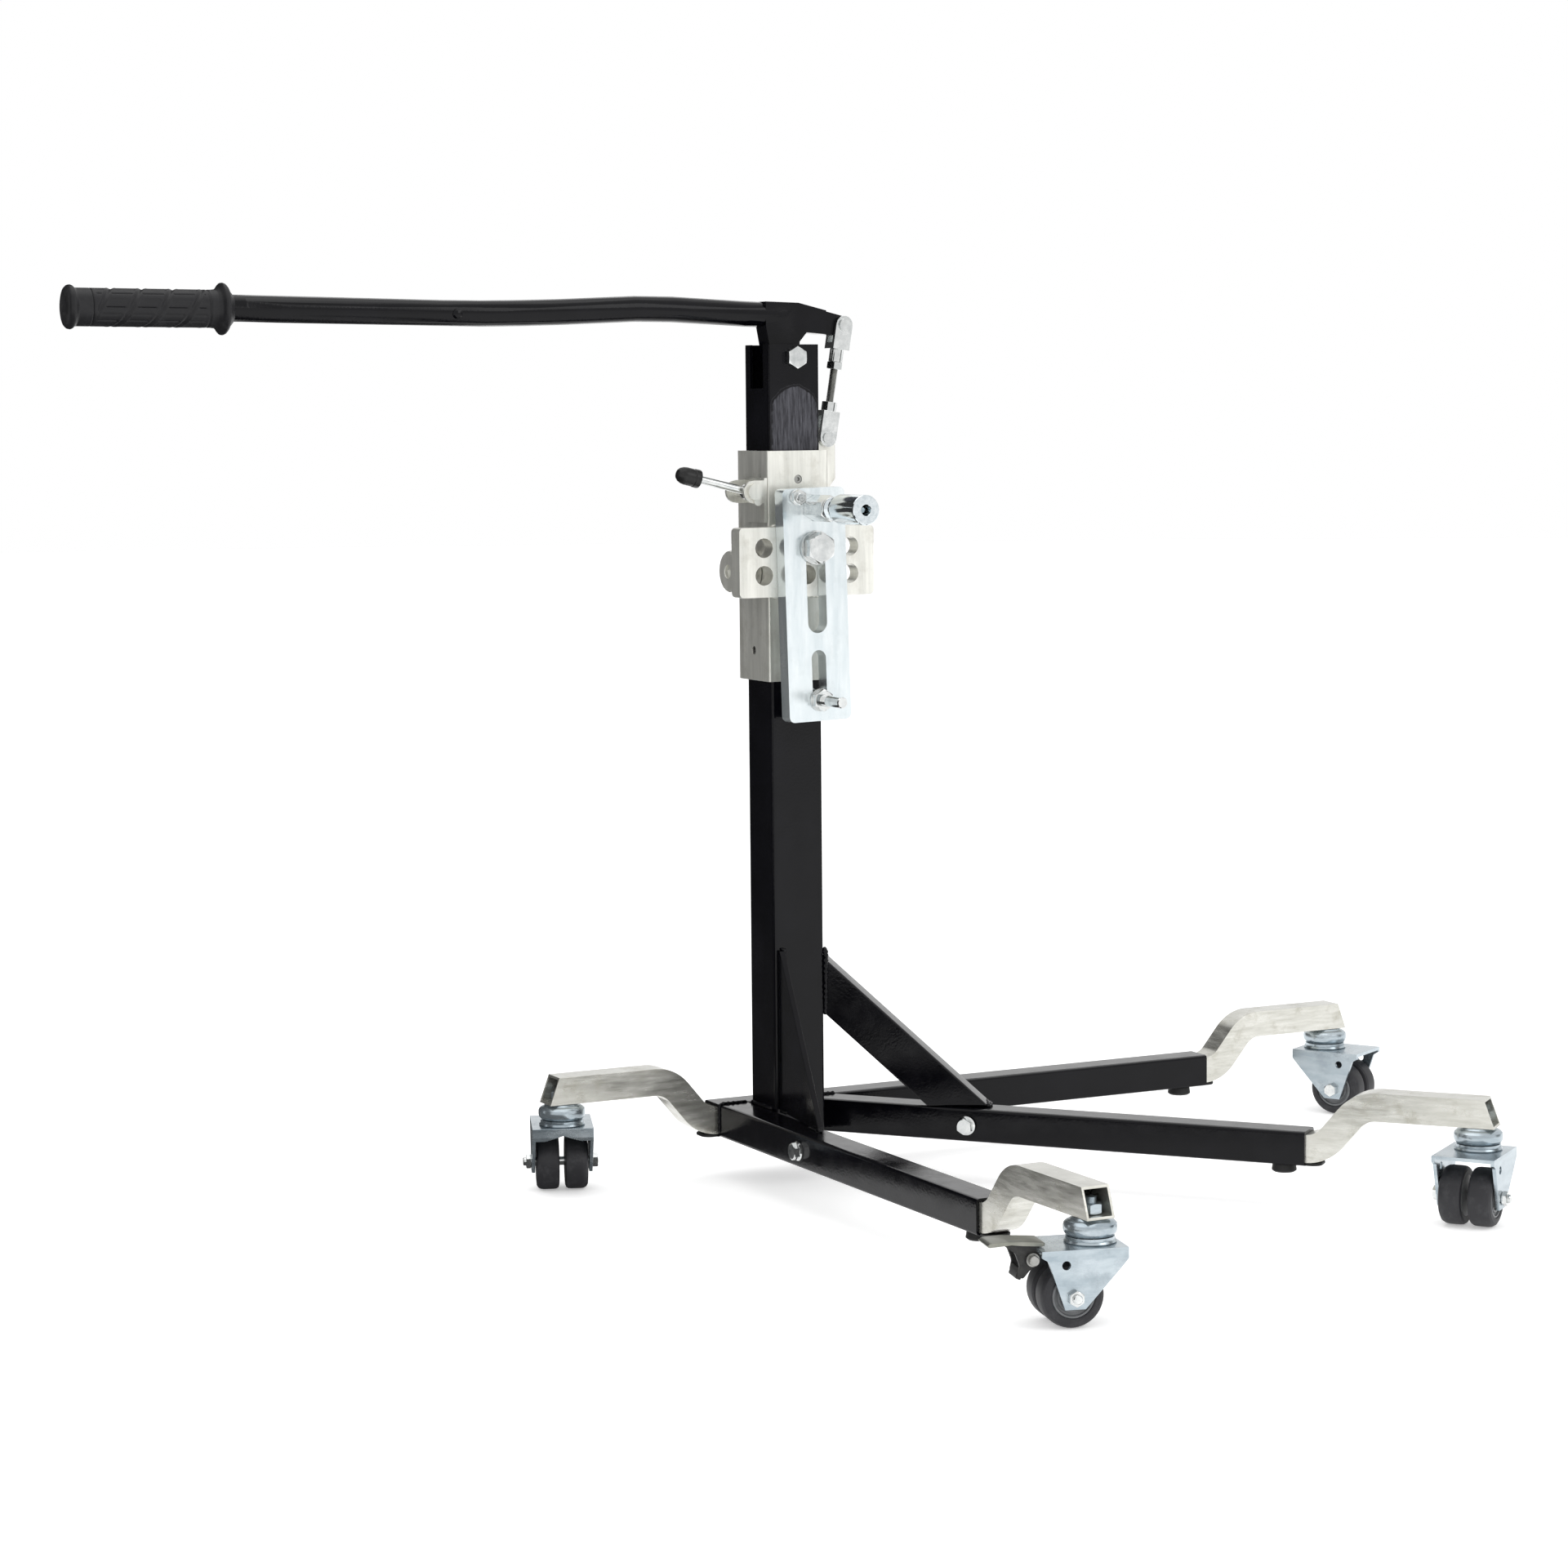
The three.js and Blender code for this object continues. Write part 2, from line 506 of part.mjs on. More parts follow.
// ---------------------------------------------------------------- turnbuckle link
// Drawn hanging from the upper pin along -Z, then tilted about that pin.
// A clevis with rounded ears: its pin height, the bottom of its throat and its base.
function clevis(pinZ, throat, base, earGap) {
  const w = link.width / 2;
  const depth = earGap / 2 + link.ear;
  const side = Math.sign(pinZ - base);
  const outline = new THREE.Shape();
  outline.moveTo(-w, base);
  outline.lineTo(-w, pinZ);
  outline.absarc(0, pinZ, w, Math.PI, 0, side > 0);
  outline.lineTo(w, base);
  const block = upright(outline, 2 * depth, Y);
  const [low, high] = side > 0 ? [throat, pinZ + 2 * w] : [pinZ - 2 * w, throat];
  const fork = box(-earGap / 2, earGap / 2, -w - 1, w + 1, low, high);
  return { block: cut(facingOut(block), fork), pinAt: new THREE.Vector3(0, 0, pinZ), depth };
}

function turnbuckle() {
  const earGap = lever.tongue + 2 * slideGap;
  const upper = clevis(0, -16.5, -22, earGap);
  const neck = bar(6.2, -33, -20, Z, new THREE.Vector3(), 12);
  const rodBore = bar(link.rod / 2 + gap, -40, -22, Z, new THREE.Vector3(), 14);
  const pinBore = bar(link.pin / 2 + gap, -20, 20, X, upper.pinAt, 12);
  const nutRing = cut(hexBar(link.nutFlats, -39.5, -33.5), bar(link.rod / 2 + gap, -50, -30, Z, new THREE.Vector3(), 14));
  const low = -link.length;
  const lowGap = lug.thickness + 2 * slideGap;
  const lower = clevis(low, low + 19.5, low + 24, lowGap);
  const coupling = bar(6.8, low + 23, low + 32, Z, new THREE.Vector3(), 12);
  const rivets = [-1, 1].map((s) => bar(5.6, lower.depth - 1, lower.depth + 1.6, new THREE.Vector3(s, 0, 0), lower.pinAt, 12));
  const pinEnd = upper.depth + gap;
  const pinBar = bar(link.pin / 2, -pinEnd - 2, pinEnd + 2, X, new THREE.Vector3(), 12);
  const heads = [bar(5.6, pinEnd, pinEnd + 2, X, new THREE.Vector3(), 12), bar(5.6, -pinEnd - 2, -pinEnd, X, new THREE.Vector3(), 12)];
  const rodTop = -24;
  const group = new THREE.Group();
  group.add(
    node('link_clevis_top', cut(join(upper.block, neck), rodBore, pinBore), zinc),
    node('link_pin_top', join(pinBar, ...heads), zinc),
    node('link_lock_nut', nutRing, zinc),
    node('link_rod', bar(link.rod / 2, low + 32 + gap, rodTop - gap, Z, new THREE.Vector3(), 14), zinc),
    node('link_clevis_bottom', join(lower.block, coupling, ...rivets), zinc),
  );
  group.position.set(0, lever.armY, pivot.z + lever.armZ);
  group.rotation.x = -rad(link.tilt);
  return group;
}

// ---------------------------------------------------------------- carriage
const sleeveHalf = sleeve.size / 2;
const sleeveTop = sleeve.bottom + sleeve.height;
const holderFace = sleeveHalf + gap + holder.thickness;
const plateFace = holderFace + gap + plate.thickness;

function sleeveTube() {
  const from = new THREE.Vector3(0, 0, sleeve.bottom);
  const tube = squareTube(sleeve.size, sleeve.wall, sleeve.radius, sleeve.height, from, Z);
  const frontHole = bar(grub.radius + gap, 0, sleeve.size, X, new THREE.Vector3(0, 0, grub.z), 12);
  const sideHole = bar(grub.radius + gap, -sleeve.size, 0, Y, new THREE.Vector3(0, 0, grub.lowZ), 12);
  return node('sleeve', cut(tube, frontHole, sideHole), zinc);
}

// Nylon guide liners between sleeve and mast, one at each end of the sleeve.
function guideLiner(name, bottom) {
  const outer = sleeve.size - 2 * sleeve.wall - 2 * gap;
  const wall = (outer - mast.size - 2 * slideGap) / 2;
  const from = new THREE.Vector3(0, 0, bottom);
  return node(name, squareTube(outer, wall, 1.5, liner.height, from, Z), nylon);
}

function grubScrew(name, axis, at) {
  const inner = sleeveHalf - sleeve.wall + gap;
  const outer = sleeveHalf - 0.6;
  const socket = hexBar(3.4, outer - 1.6, outer + 1, axis, at);
  return node(name, cut(bar(grub.radius, inner, outer, axis, at, 12), socket), zinc);
}

// The drilled holder plate across the front of the sleeve.
function holderPlate() {
  const block = upright(roundedRectangle(holder.width, holder.height, 4, 0, holder.bottom + holder.height / 2),
    holder.thickness, Y, new THREE.Vector3(holderFace - holder.thickness / 2, 0, 0));
  const holes = [-1, 0, 1].flatMap((column) => [0, 1].map((row) => bar(holder.hole / 2, 0, 100, X,
    new THREE.Vector3(0, column * holder.pitchY, holder.topRow - row * holder.pitchZ), 16)));
  return node('holder_plate', cut(block, ...holes), zinc);
}

function clampBolts() {
  const at = new THREE.Vector3(0, 0, holder.topRow);
  const washerFrom = plateFace + gap;
  const headFrom = washerFrom + clampBolt.washerThickness + gap;
  const washerRing = cut(bar(clampBolt.washer, washerFrom, washerFrom + clampBolt.washerThickness, X, at, 20),
    bar(clampBolt.thread / 2 + gap, 0, 200, X, at, 24));
  const shank = bar(clampBolt.thread / 2, sleeveHalf + 2 * gap, headFrom + 1, X, at, 24);
  const head = hexBar(clampBolt.flats, headFrom, headFrom + clampBolt.head, X, at);
  return [node('clamp_bolt', join(shank, head), zinc), node('clamp_washer', washerRing, zinc)];
}

// The lug on the rear of the sleeve that the link's lower clevis straddles.
function linkLug() {
  const face = sleeveHalf + gap;
  const top = lug.pinZ + lug.above;
  const outline = [[face, lug.bottom], [lug.y - 8, lug.bottom], [lug.y, lug.bottom + 10], [lug.y, top - 5], [lug.y - 5, top],
    [face + 7, top], [face, sleeveTop - 2]];
  return node('link_lug', upright(outline, lug.thickness, Y), zinc);
}

function lockBoss() {
  const face = sleeveHalf + gap;
  const r = boss.radius;
  const points = [[0, face], [r, face], [r, face + boss.length - 2], [r - 2, face + boss.length], [6, face + boss.length],
    [6, face + boss.length - 4], [0, face + boss.length - 4]];
  return node('lock_boss', turned(points, new THREE.Vector3(0, -1, 0), new THREE.Vector3(0, 0, boss.z), 20), zinc);
}

// A folded bracket on the sleeve's side carries the carriage lock lever on a riveted pin.
function latchBracket() {
  const face = -sleeveHalf - gap;
  const back = box(latch.x - latch.halfWidth, latch.x + latch.halfWidth, face - latch.sheet, face, latch.plateBottom, latch.plateTop);
  const ear = (x) => {
    const outline = new THREE.Shape();
    const r = 10;
    outline.moveTo(face - 1, latch.z - r);
    outline.lineTo(face - 1, latch.z + r);
    outline.lineTo(latch.y, latch.z + r);
    outline.absarc(latch.y, latch.z, r, Math.PI / 2, 1.5 * Math.PI, false);
    return upright(outline, latch.sheet, Y, new THREE.Vector3(latch.x + x, 0, 0));
  };
  const reach = latch.halfWidth - latch.sheet / 2;
  const at = new THREE.Vector3(latch.x, latch.y, latch.z);
  const pinBar = bar(latch.pin / 2, -latch.halfWidth - 2, latch.halfWidth + 4, X, at, 12);
  const head = bar(latch.head / 2, latch.halfWidth - 0.5, latch.halfWidth + 4, X, at, 16);
  const small = bar(4, latch.halfWidth - 1, latch.halfWidth + 2, X, new THREE.Vector3(latch.x, latch.y + 3, latch.z - 8), 14);
  return node('latch_bracket', join(back, ear(-reach), ear(reach), pinBar, head, small), zinc);
}

const latchWay = new THREE.Vector3(0, -latch.reach, latch.rise).normalize();

function latchLever() {
  const at = new THREE.Vector3(latch.barrelX, latch.y, latch.z);
  const barrel = bar(latch.barrel / 2, -latch.barrelLength / 2, latch.barrelLength / 2, X, at, 16);
  const handle = bar(latch.rod / 2, 0, latch.reach, latchWay, at, 14);
  const pinHole = bar(latch.pin / 2 + gap, -30, 30, X, at, 12);
  return node('latch_lever', cut(join(barrel, handle), pinHole), zinc);
}

function latchCap() {
  const at = new THREE.Vector3(latch.barrelX, latch.y, latch.z).addScaledVector(latchWay, latch.reach - latch.capLength + 6);
  const r = latch.cap / 2;
  const inner = latch.rod / 2 + gap;
  const length = latch.capLength;
  const points = [[inner, 0], [r - 2, 0], [r, 2.5], [r, length - 9], [r - 2, length - 3.5], [r - 5, length - 0.8], [0, length],
    [0, length - 5.5], [inner, length - 5.5], [inner, 0]];
  return node('latch_cap', turned(points, latchWay, at, 16), rubber);
}

// ---------------------------------------------------------------- adapter plate
// The plate hangs from the clamp bolt, a little out of plumb.
function adapter() {
  const group = new THREE.Group();
  const boltZ = holder.topRow;
  const middleX = plateFace - plate.thickness / 2;
  const middleZ = plate.top - plate.height / 2;
  const local = (x, y, z) => new THREE.Vector3(x, y, z - boltZ);
  const openSlot = (low, high, width) => {
    const hole = roundedRectangle(width, high - low, width / 2 - 0.01, 0, (high + low) / 2 - boltZ);
    return new THREE.Path(hole.getPoints(4));
  };
  const body = upright(roundedRectangle(plate.width, plate.height, plate.radius, 0, middleZ - boltZ), plate.thickness, Y,
    new THREE.Vector3(middleX, 0, 0), [openSlot(slot.bottom, slot.top, slot.width), openSlot(lowSlot.bottom, lowSlot.top, lowSlot.width)]);
  const pinAt = local(0, 0, pin.z);
  const stopAt = local(0, stop.y, stop.z);
  const pinHole = bar(pin.neck + gap - 1.5, 0, 100, X, pinAt, 16);
  const stopHole = bar(stop.thread / 2 + gap, 0, 100, X, stopAt, 12);
  const face = plateFace + gap;
  const behind = holderFace + gap;
  const neck = pin.neck - 1.5;
  const pinPoints = [[0, behind], [neck, behind], [neck, face + pin.nut], [pin.neck, face + pin.nut + gap], [pin.neck, pin.neckEnd],
    [pin.radius - 0.5, pin.neckEnd + 4], [pin.radius, pin.neckEnd + 6], [pin.radius, pin.end - 1.5], [pin.radius - 1.5, pin.end],
    [pin.bore, pin.end], [pin.bore, pin.end - pin.boreDepth], [0, pin.end - pin.boreDepth - 2]];
  const pinNut = cut(join(hexBar(pin.nutFlats, face, face + pin.nut - 2.5, X, pinAt), bar(pin.nutFlats / 2, face + pin.nut - 3, face + pin.nut - gap, X, pinAt)),
    bar(neck + gap, 0, 200, X, pinAt, 16));
  const stopScrew = cut(join(bar(stop.thread / 2, behind, face + 9, X, stopAt, 12), hexBar(stop.flats, face, face + 6.5, X, stopAt)),
    hexBar(4, face + 4, face + 20, X, stopAt));
  const studAt = local(0, 0, stud.z);
  const studBody = join(bar(stud.thread / 2, behind - gap - stud.back - 2, stud.end, X, studAt, 12),
    hexBar(stud.flats, face, face + stud.nut, X, studAt), bar(stud.flats / 2 + 1.5, face, face + 1.5, X, studAt),
    hexBar(stud.flats, behind - 2 * gap - stud.back, behind - 2 * gap, X, studAt));
  group.add(
    node('adapter_plate', cut(body, pinHole, stopHole), blueZinc),
    node('adapter_pin', turned(pinPoints, X, pinAt, 20), blueZinc),
    node('pin_nut', pinNut, zinc),
    node('stop_screw', stopScrew, zinc),
    node('lower_stud', studBody, zinc),
  );
  group.position.z = boltZ;
  group.rotation.x = rad(plate.tilt);
  return group;
}

// ---------------------------------------------------------------- assembly
const stand = new THREE.Group();
stand.add(spineTube(), crossTube(), diagonalLeg(), mastTube(), gussetPlate(), braceTube());
for (const end of ends) {
  const castorAt = end.at.clone().addScaledVector(end.way, arm.reach).setZ(0);
  stand.add(bentArm(end), castorHead(end, castorAt), castorFork(end, castorAt), twinWheel(end, castorAt), castorAxle(end, castorAt));
  if (end.name !== 'left') stand.add(rubberFoot(end));
  if (end.name === 'front') stand.add(brakePedal(end, castorAt));
}
stand.add(
  throughBolt('cross_bolt', crossBoltAt, new THREE.Vector3(0, -1, 0), baseBolt.shank, beam.size, baseBolt.flats, baseBolt.flange, 6, 7),
  throughBolt('leg_bolt', legBoltAt, legAcross, baseBolt.shank, beam.size, baseBolt.flats, baseBolt.flange, 6, 7),
  leverArm(), leverGrip(), pivotBolt(), turnbuckle(),
);

const carriage = new THREE.Group();
carriage.position.z = lowPinZ - lug.pinZ;
carriage.add(
  sleeveTube(), guideLiner('liner_lower', sleeve.bottom + 2), guideLiner('liner_upper', sleeveTop - liner.height - 2),
  grubScrew('grub_screw_front', X, new THREE.Vector3(0, 0, grub.z)),
  grubScrew('grub_screw_side', new THREE.Vector3(0, -1, 0), new THREE.Vector3(0, 0, grub.lowZ)),
  holderPlate(), ...clampBolts(), linkLug(), lockBoss(), latchBracket(), latchLever(), latchCap(), adapter(),
);
stand.add(carriage);

// The origin is the centre of the footprint, on the floor.
stand.updateMatrixWorld(true);
const bounds = new THREE.Box3().setFromObject(stand);
const centre = bounds.getCenter(new THREE.Vector3());
const part = new THREE.Group();
stand.position.set(-centre.x, -centre.y, -bounds.min.z);
part.add(stand);

export default part;
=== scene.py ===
"""Looks for the motorcycle lift stand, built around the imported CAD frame.

Blender works in metres. Profiles and outlines are written in millimetres and scaled by MM.
"""
import json
import math
import random

import bmesh
import bpy
from mathutils import Matrix, Vector

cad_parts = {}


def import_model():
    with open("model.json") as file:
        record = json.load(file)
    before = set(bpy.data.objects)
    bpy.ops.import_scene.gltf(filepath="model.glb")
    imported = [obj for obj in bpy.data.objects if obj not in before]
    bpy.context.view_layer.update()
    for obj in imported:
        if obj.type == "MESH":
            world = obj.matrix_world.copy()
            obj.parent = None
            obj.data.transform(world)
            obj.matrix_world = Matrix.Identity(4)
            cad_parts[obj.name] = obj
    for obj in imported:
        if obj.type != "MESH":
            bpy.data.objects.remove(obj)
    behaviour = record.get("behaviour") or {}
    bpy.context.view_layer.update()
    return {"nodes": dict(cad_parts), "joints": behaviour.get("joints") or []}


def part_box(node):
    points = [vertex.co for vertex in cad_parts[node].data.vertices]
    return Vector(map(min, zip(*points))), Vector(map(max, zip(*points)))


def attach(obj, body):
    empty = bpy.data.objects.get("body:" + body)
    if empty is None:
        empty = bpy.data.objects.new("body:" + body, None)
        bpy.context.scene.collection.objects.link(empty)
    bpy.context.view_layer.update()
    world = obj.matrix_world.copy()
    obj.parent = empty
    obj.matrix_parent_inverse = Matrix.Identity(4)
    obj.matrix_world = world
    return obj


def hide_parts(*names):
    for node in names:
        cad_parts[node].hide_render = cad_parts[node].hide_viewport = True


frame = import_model()
NODES = frame["nodes"]
JOINTS = {joint["name"]: joint for joint in frame["joints"]}
MM = 0.001
X, Y, Z = Vector((1, 0, 0)), Vector((0, 1, 0)), Vector((0, 0, 1))
rng = random.Random(7)

MAST_LOW, MAST_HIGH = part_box("mast")
MAST = (MAST_LOW + MAST_HIGH) / 2
ENDS = ("left", "front", "right", "back")

LEG_ANGLE = 39.7        # degrees of the diagonal leg from X
LINK_TILT = 9.4         # degrees of the turnbuckle link from upright
TUBE_SEAT = 15.3        # from a base tube's axis to the seat of a bolt head or nut
MAST_SEAT = 25.3        # from the mast's axis to the seat of a bolt head or nut
BEAD_HEIGHT = 69        # of a weld's axis, 1 mm above the base tubes' upper faces
LEG_WAY = Vector((math.cos(math.radians(LEG_ANGLE)), math.sin(math.radians(LEG_ANGLE)), 0))


def at(x, y, z):
    """A point in millimetres from the mast's axis at floor level."""
    return Vector((MAST.x + x * MM, MAST.y + y * MM, z * MM))


# ---------------------------------------------------------------- materials
class Paint:
    """A Principled material whose colour, roughness and bump come from procedural nodes."""

    def __init__(self, name, metallic=0.0, roughness=0.4, **fixed):
        self.material = bpy.data.materials.new(name)
        self.material.use_nodes = True
        self.tree = self.material.node_tree
        self.shader = self.tree.nodes["Principled BSDF"]
        self.shader.inputs["Metallic"].default_value = metallic
        self.shader.inputs["Roughness"].default_value = roughness
        for socket, value in fixed.items():
            self.shader.inputs[socket.replace("_", " ")].default_value = value
        self.coords = self.node("ShaderNodeTexCoord").outputs["Object"]

    def node(self, kind, **settings):
        made = self.tree.nodes.new(kind)
        for key, value in settings.items():
            setattr(made, key, value)
        return made

    def feed(self, socket, value):
        """Sets a number or colour on a socket, or links another node's output to it."""
        if isinstance(value, (int, float)):
            socket.default_value = value
        elif isinstance(value, tuple):
            socket.default_value = (*value, 1.0)[: len(socket.default_value)]
        else:
            self.tree.links.new(value, socket)

    def noise(self, scale, stretch=(1, 1, 1), detail=3.0, roughness=0.55):
        mapping = self.node("ShaderNodeMapping")
        mapping.inputs["Scale"].default_value = stretch
        self.feed(mapping.inputs["Vector"], self.coords)
        made = self.node("ShaderNodeTexNoise")
        made.inputs["Scale"].default_value = scale
        made.inputs["Detail"].default_value = detail
        made.inputs["Roughness"].default_value = roughness
        self.feed(made.inputs["Vector"], mapping.outputs[0])
        return made.outputs["Fac"]

    def span(self, value, from_low, from_high, low, high):
        """Maps a range of values onto another and holds the result inside it."""
        made = self.node("ShaderNodeMapRange", clamp=True)
        for index, number in enumerate((value, from_low, from_high, low, high)):
            self.feed(made.inputs[index], number)
        return made.outputs[0]

    def math(self, operation, a, b=0.0):
        made = self.node("ShaderNodeMath", operation=operation)
        for index, value in enumerate((a, b)):
            self.feed(made.inputs[index], value)
        return made.outputs[0]

    def mix(self, factor, a, b):
        made = self.node("ShaderNodeMix", data_type="RGBA")
        self.feed(made.inputs["Factor"], factor)
        self.feed(made.inputs[6], a)
        self.feed(made.inputs[7], b)
        return made.outputs[2]

    def axes(self):
        made = self.node("ShaderNodeSeparateXYZ")
        self.feed(made.inputs[0], self.coords)
        return made.outputs

    def colour(self, value):
        self.feed(self.shader.inputs["Base Color"], value)

    def rough(self, value):
        self.feed(self.shader.inputs["Roughness"], value)

    def bump(self, height, strength, depth):
        made = self.node("ShaderNodeBump")
        made.inputs["Strength"].default_value = strength
        made.inputs["Distance"].default_value = depth
        self.feed(made.inputs["Height"], height)
        self.feed(self.shader.inputs["Normal"], made.outputs[0])


def scrape(paint):
    """How worn the mast's front is, and how near the rim: an arch rubbed by the carriage."""
    x, y, z = paint.axes()
    side = paint.math("SUBTRACT", y, MAST.y)
    rise = paint.math("SUBTRACT", z, 686 * MM)
    up = paint.math("MAXIMUM", rise, 0.0)
    squares = paint.math("ADD", paint.math("MULTIPLY", side, side), paint.math("MULTIPLY", up, up))
    wobble = paint.span(paint.noise(110, detail=3), 0.2, 0.8, -1.6 * MM, 1.6 * MM)
    distance = paint.math("ADD", paint.math("SQRT", squares), wobble)
    inside = paint.span(distance, 23.5 * MM, 24.6 * MM, 1.0, 0.0)
    facing = paint.span(x, MAST_HIGH.x - 1.2 * MM, MAST_HIGH.x - 0.6 * MM, 0.0, 1.0)
    above = paint.span(z, 600 * MM, 602 * MM, 0.0, 1.0)
    worn = paint.math("MULTIPLY", paint.math("MULTIPLY", inside, facing), above)
    rim = paint.math("MULTIPLY", paint.span(distance, 21.4 * MM, 22.4 * MM, 0.0, 1.0), worn)
    return worn, rim


def black_coat(name="black_powder_coat", scraped=False):
    """Gloss black powder coat with orange peel, faint dust and soft handling marks."""
    paint = Paint(name, Specular_IOR_Level=0.2)
    dust = paint.span(paint.noise(24, detail=6), 0.45, 0.75, 0.0, 1.0)
    colour = paint.mix(dust, (0.0012, 0.0012, 0.0022), (0.0032, 0.0032, 0.0048))
    rough = paint.span(paint.noise(60, detail=4), 0.3, 0.75, 0.09, 0.22)
    height = paint.noise(420, detail=1)
    relief = 0.09
    if scraped:
        worn, rim = scrape(paint)
        scratches = paint.noise(60, stretch=(1, 9, 0.8), detail=8, roughness=0.7)
        streak = paint.span(scratches, 0.34, 0.7, 0.0, 1.0)
        scuffed = paint.mix(streak, (0.006, 0.006, 0.009), (0.10, 0.10, 0.115))
        colour = paint.mix(worn, colour, paint.mix(rim, scuffed, (0.001, 0.001, 0.002)))
        rough = paint.math("ADD", rough, paint.math("MULTIPLY", worn, 0.33))
        grooves = paint.math("MULTIPLY", paint.math("MULTIPLY", streak, worn), 1.6)
        height = paint.math("ADD", height, grooves)
        relief = 0.14
    paint.colour(colour)
    paint.rough(rough)
    paint.bump(height, relief, 0.6 * MM)
    return paint.material


def plated(name, dark, light, stain, rough, grain=(1, 1, 1), stains=0.5, grain_scale=40, metallic=1.0):
    """Zinc or nickel plate: brushed grain along one direction, cloudy passivation and stains."""
    paint = Paint(name, metallic=metallic)
    brushed = paint.noise(grain_scale, stretch=grain, detail=6, roughness=0.65)
    cloud = paint.noise(17, detail=5, roughness=0.6)
    blotch = paint.span(paint.noise(38, detail=7, roughness=0.7), 0.52, 0.74, 0.0, stains)
    colour = paint.mix(paint.span(brushed, 0.3, 0.7, 0.0, 1.0), dark, light)
    colour = paint.mix(paint.span(cloud, 0.35, 0.7, 0.0, 0.35), colour, dark)
    paint.colour(paint.mix(blotch, colour, stain))
    dulled = paint.math("ADD", brushed, paint.math("MULTIPLY", blotch, 0.4))
    paint.rough(paint.span(dulled, 0.3, 0.9, *rough))
    paint.bump(brushed, 0.10, 0.25 * MM)
    return paint.material


def rubber(name, colour, dusty, roughness=0.55, specular=0.35):
    """Rubber, plastic or dull cast metal with fine grain and dusty scuffs."""
    paint = Paint(name, roughness=roughness, Specular_IOR_Level=specular)
    scuff = paint.span(paint.noise(90, detail=6, roughness=0.7), 0.5, 0.78, 0.0, 1.0)
    paint.colour(paint.mix(scuff, colour, dusty))
    paint.rough(paint.span(scuff, 0.0, 1.0, roughness, roughness + 0.18))
    paint.bump(paint.noise(1500, detail=2), 0.12, 0.15 * MM)
    return paint.material


BLACK = black_coat()
SCRAPED = black_coat("black_powder_coat_scraped", scraped=True)
ZINC = plated("bright_zinc", (0.60, 0.60, 0.555), (0.86, 0.855, 0.80), (0.42, 0.40, 0.34), (0.26, 0.5),
              grain=(3, 3, 0.25), metallic=0.75)
ZINC_FINE = plated("bright_zinc_fasteners", (0.50, 0.52, 0.52), (0.80, 0.81, 0.80), (0.34, 0.33, 0.30),
                   (0.10, 0.22), stains=0.3, grain_scale=120)
BLUE = plated("blue_zinc", (0.60, 0.665, 0.69), (0.82, 0.86, 0.87), (0.50, 0.55, 0.56), (0.15, 0.30),
              grain=(3, 3, 0.4), stains=0.35, grain_scale=30, metallic=0.85)
BLUE_BRIGHT = plated("blue_zinc_turned", (0.55, 0.61, 0.64), (0.78, 0.82, 0.84), (0.40, 0.45, 0.48),
                     (0.07, 0.17), grain=(0.3, 1, 1), stains=0.15, grain_scale=300)
FORK = plated("blue_zinc_forks", (0.30, 0.36, 0.40), (0.56, 0.62, 0.655), (0.24, 0.28, 0.31), (0.15, 0.36),
              grain=(0.6, 0.6, 2.5), stains=0.55, metallic=0.84)
NICKEL = plated("satin_nickel", (0.46, 0.455, 0.41), (0.72, 0.715, 0.67), (0.30, 0.28, 0.21), (0.16, 0.36),
                grain=(0.7, 0.7, 5), stains=0.6, metallic=0.85)
THREAD = plated("dark_thread", (0.22, 0.22, 0.21), (0.46, 0.46, 0.44), (0.14, 0.14, 0.13), (0.25, 0.45))
PEDAL = plated("pedal_metal", (0.20, 0.205, 0.175), (0.36, 0.36, 0.32), (0.10, 0.10, 0.08), (0.32, 0.5),
               stains=0.4)
CAST = rubber("pedal_bracket", (0.016, 0.016, 0.016), (0.05, 0.05, 0.045), 0.42)
GRIP = rubber("black_rubber_grip", (0.0085, 0.0085, 0.010), (0.018, 0.018, 0.020), 0.44, 0.3)
CAP = rubber("black_rubber_cap", (0.006, 0.006, 0.006), (0.016, 0.016, 0.016), 0.33)
FOOT = rubber("black_rubber_foot", (0.008, 0.008, 0.008), (0.02, 0.02, 0.02))
TYRE = rubber("grey_tyre", (0.021, 0.021, 0.024), (0.05, 0.05, 0.054), 0.5)
HUB = rubber("grey_hub", (0.13, 0.135, 0.14), (0.20, 0.205, 0.21), 0.4, 0.4)
NYLON = rubber("white_nylon", (0.72, 0.71, 0.66), (0.60, 0.58, 0.52), 0.45)


# ---------------------------------------------------------------- mesh helpers
def finish_mesh(mesh, name, material, body, replaces=(), sharp=24):
    """Makes an object of a bmesh, smooth across gentle angles, and hands it to the frame."""
    bmesh.ops.remove_doubles(mesh, verts=mesh.verts, dist=1e-6)
    bmesh.ops.recalc_face_normals(mesh, faces=mesh.faces)
    data = bpy.data.meshes.new(name)
    mesh.to_mesh(data)
    mesh.free()
    for polygon in data.polygons:
        polygon.use_smooth = True
    data.set_sharp_from_angle(angle=math.radians(sharp))
    data.materials.append(material)
    piece = bpy.data.objects.new(name, data)
    bpy.context.collection.objects.link(piece)
    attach(piece, body)
    if replaces:
        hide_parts(*replaces)
    return piece


def axes_matrix(u, v, w, origin):
    """A placement whose local axes are u, v and w."""
    rows = [(u[i], v[i], w[i], origin[i]) for i in range(3)]
    return Matrix((*rows, (0, 0, 0, 1)))


def placing(origin, axis):
    """Local Z along axis at origin, with local X as near the frame's X as can be."""
    w = Vector(axis).normalized()
    u = X if abs(w.x) < 0.9 else Y
    u = (u - w * u.dot(w)).normalized()
    return axes_matrix(u, w.cross(u), w, origin)


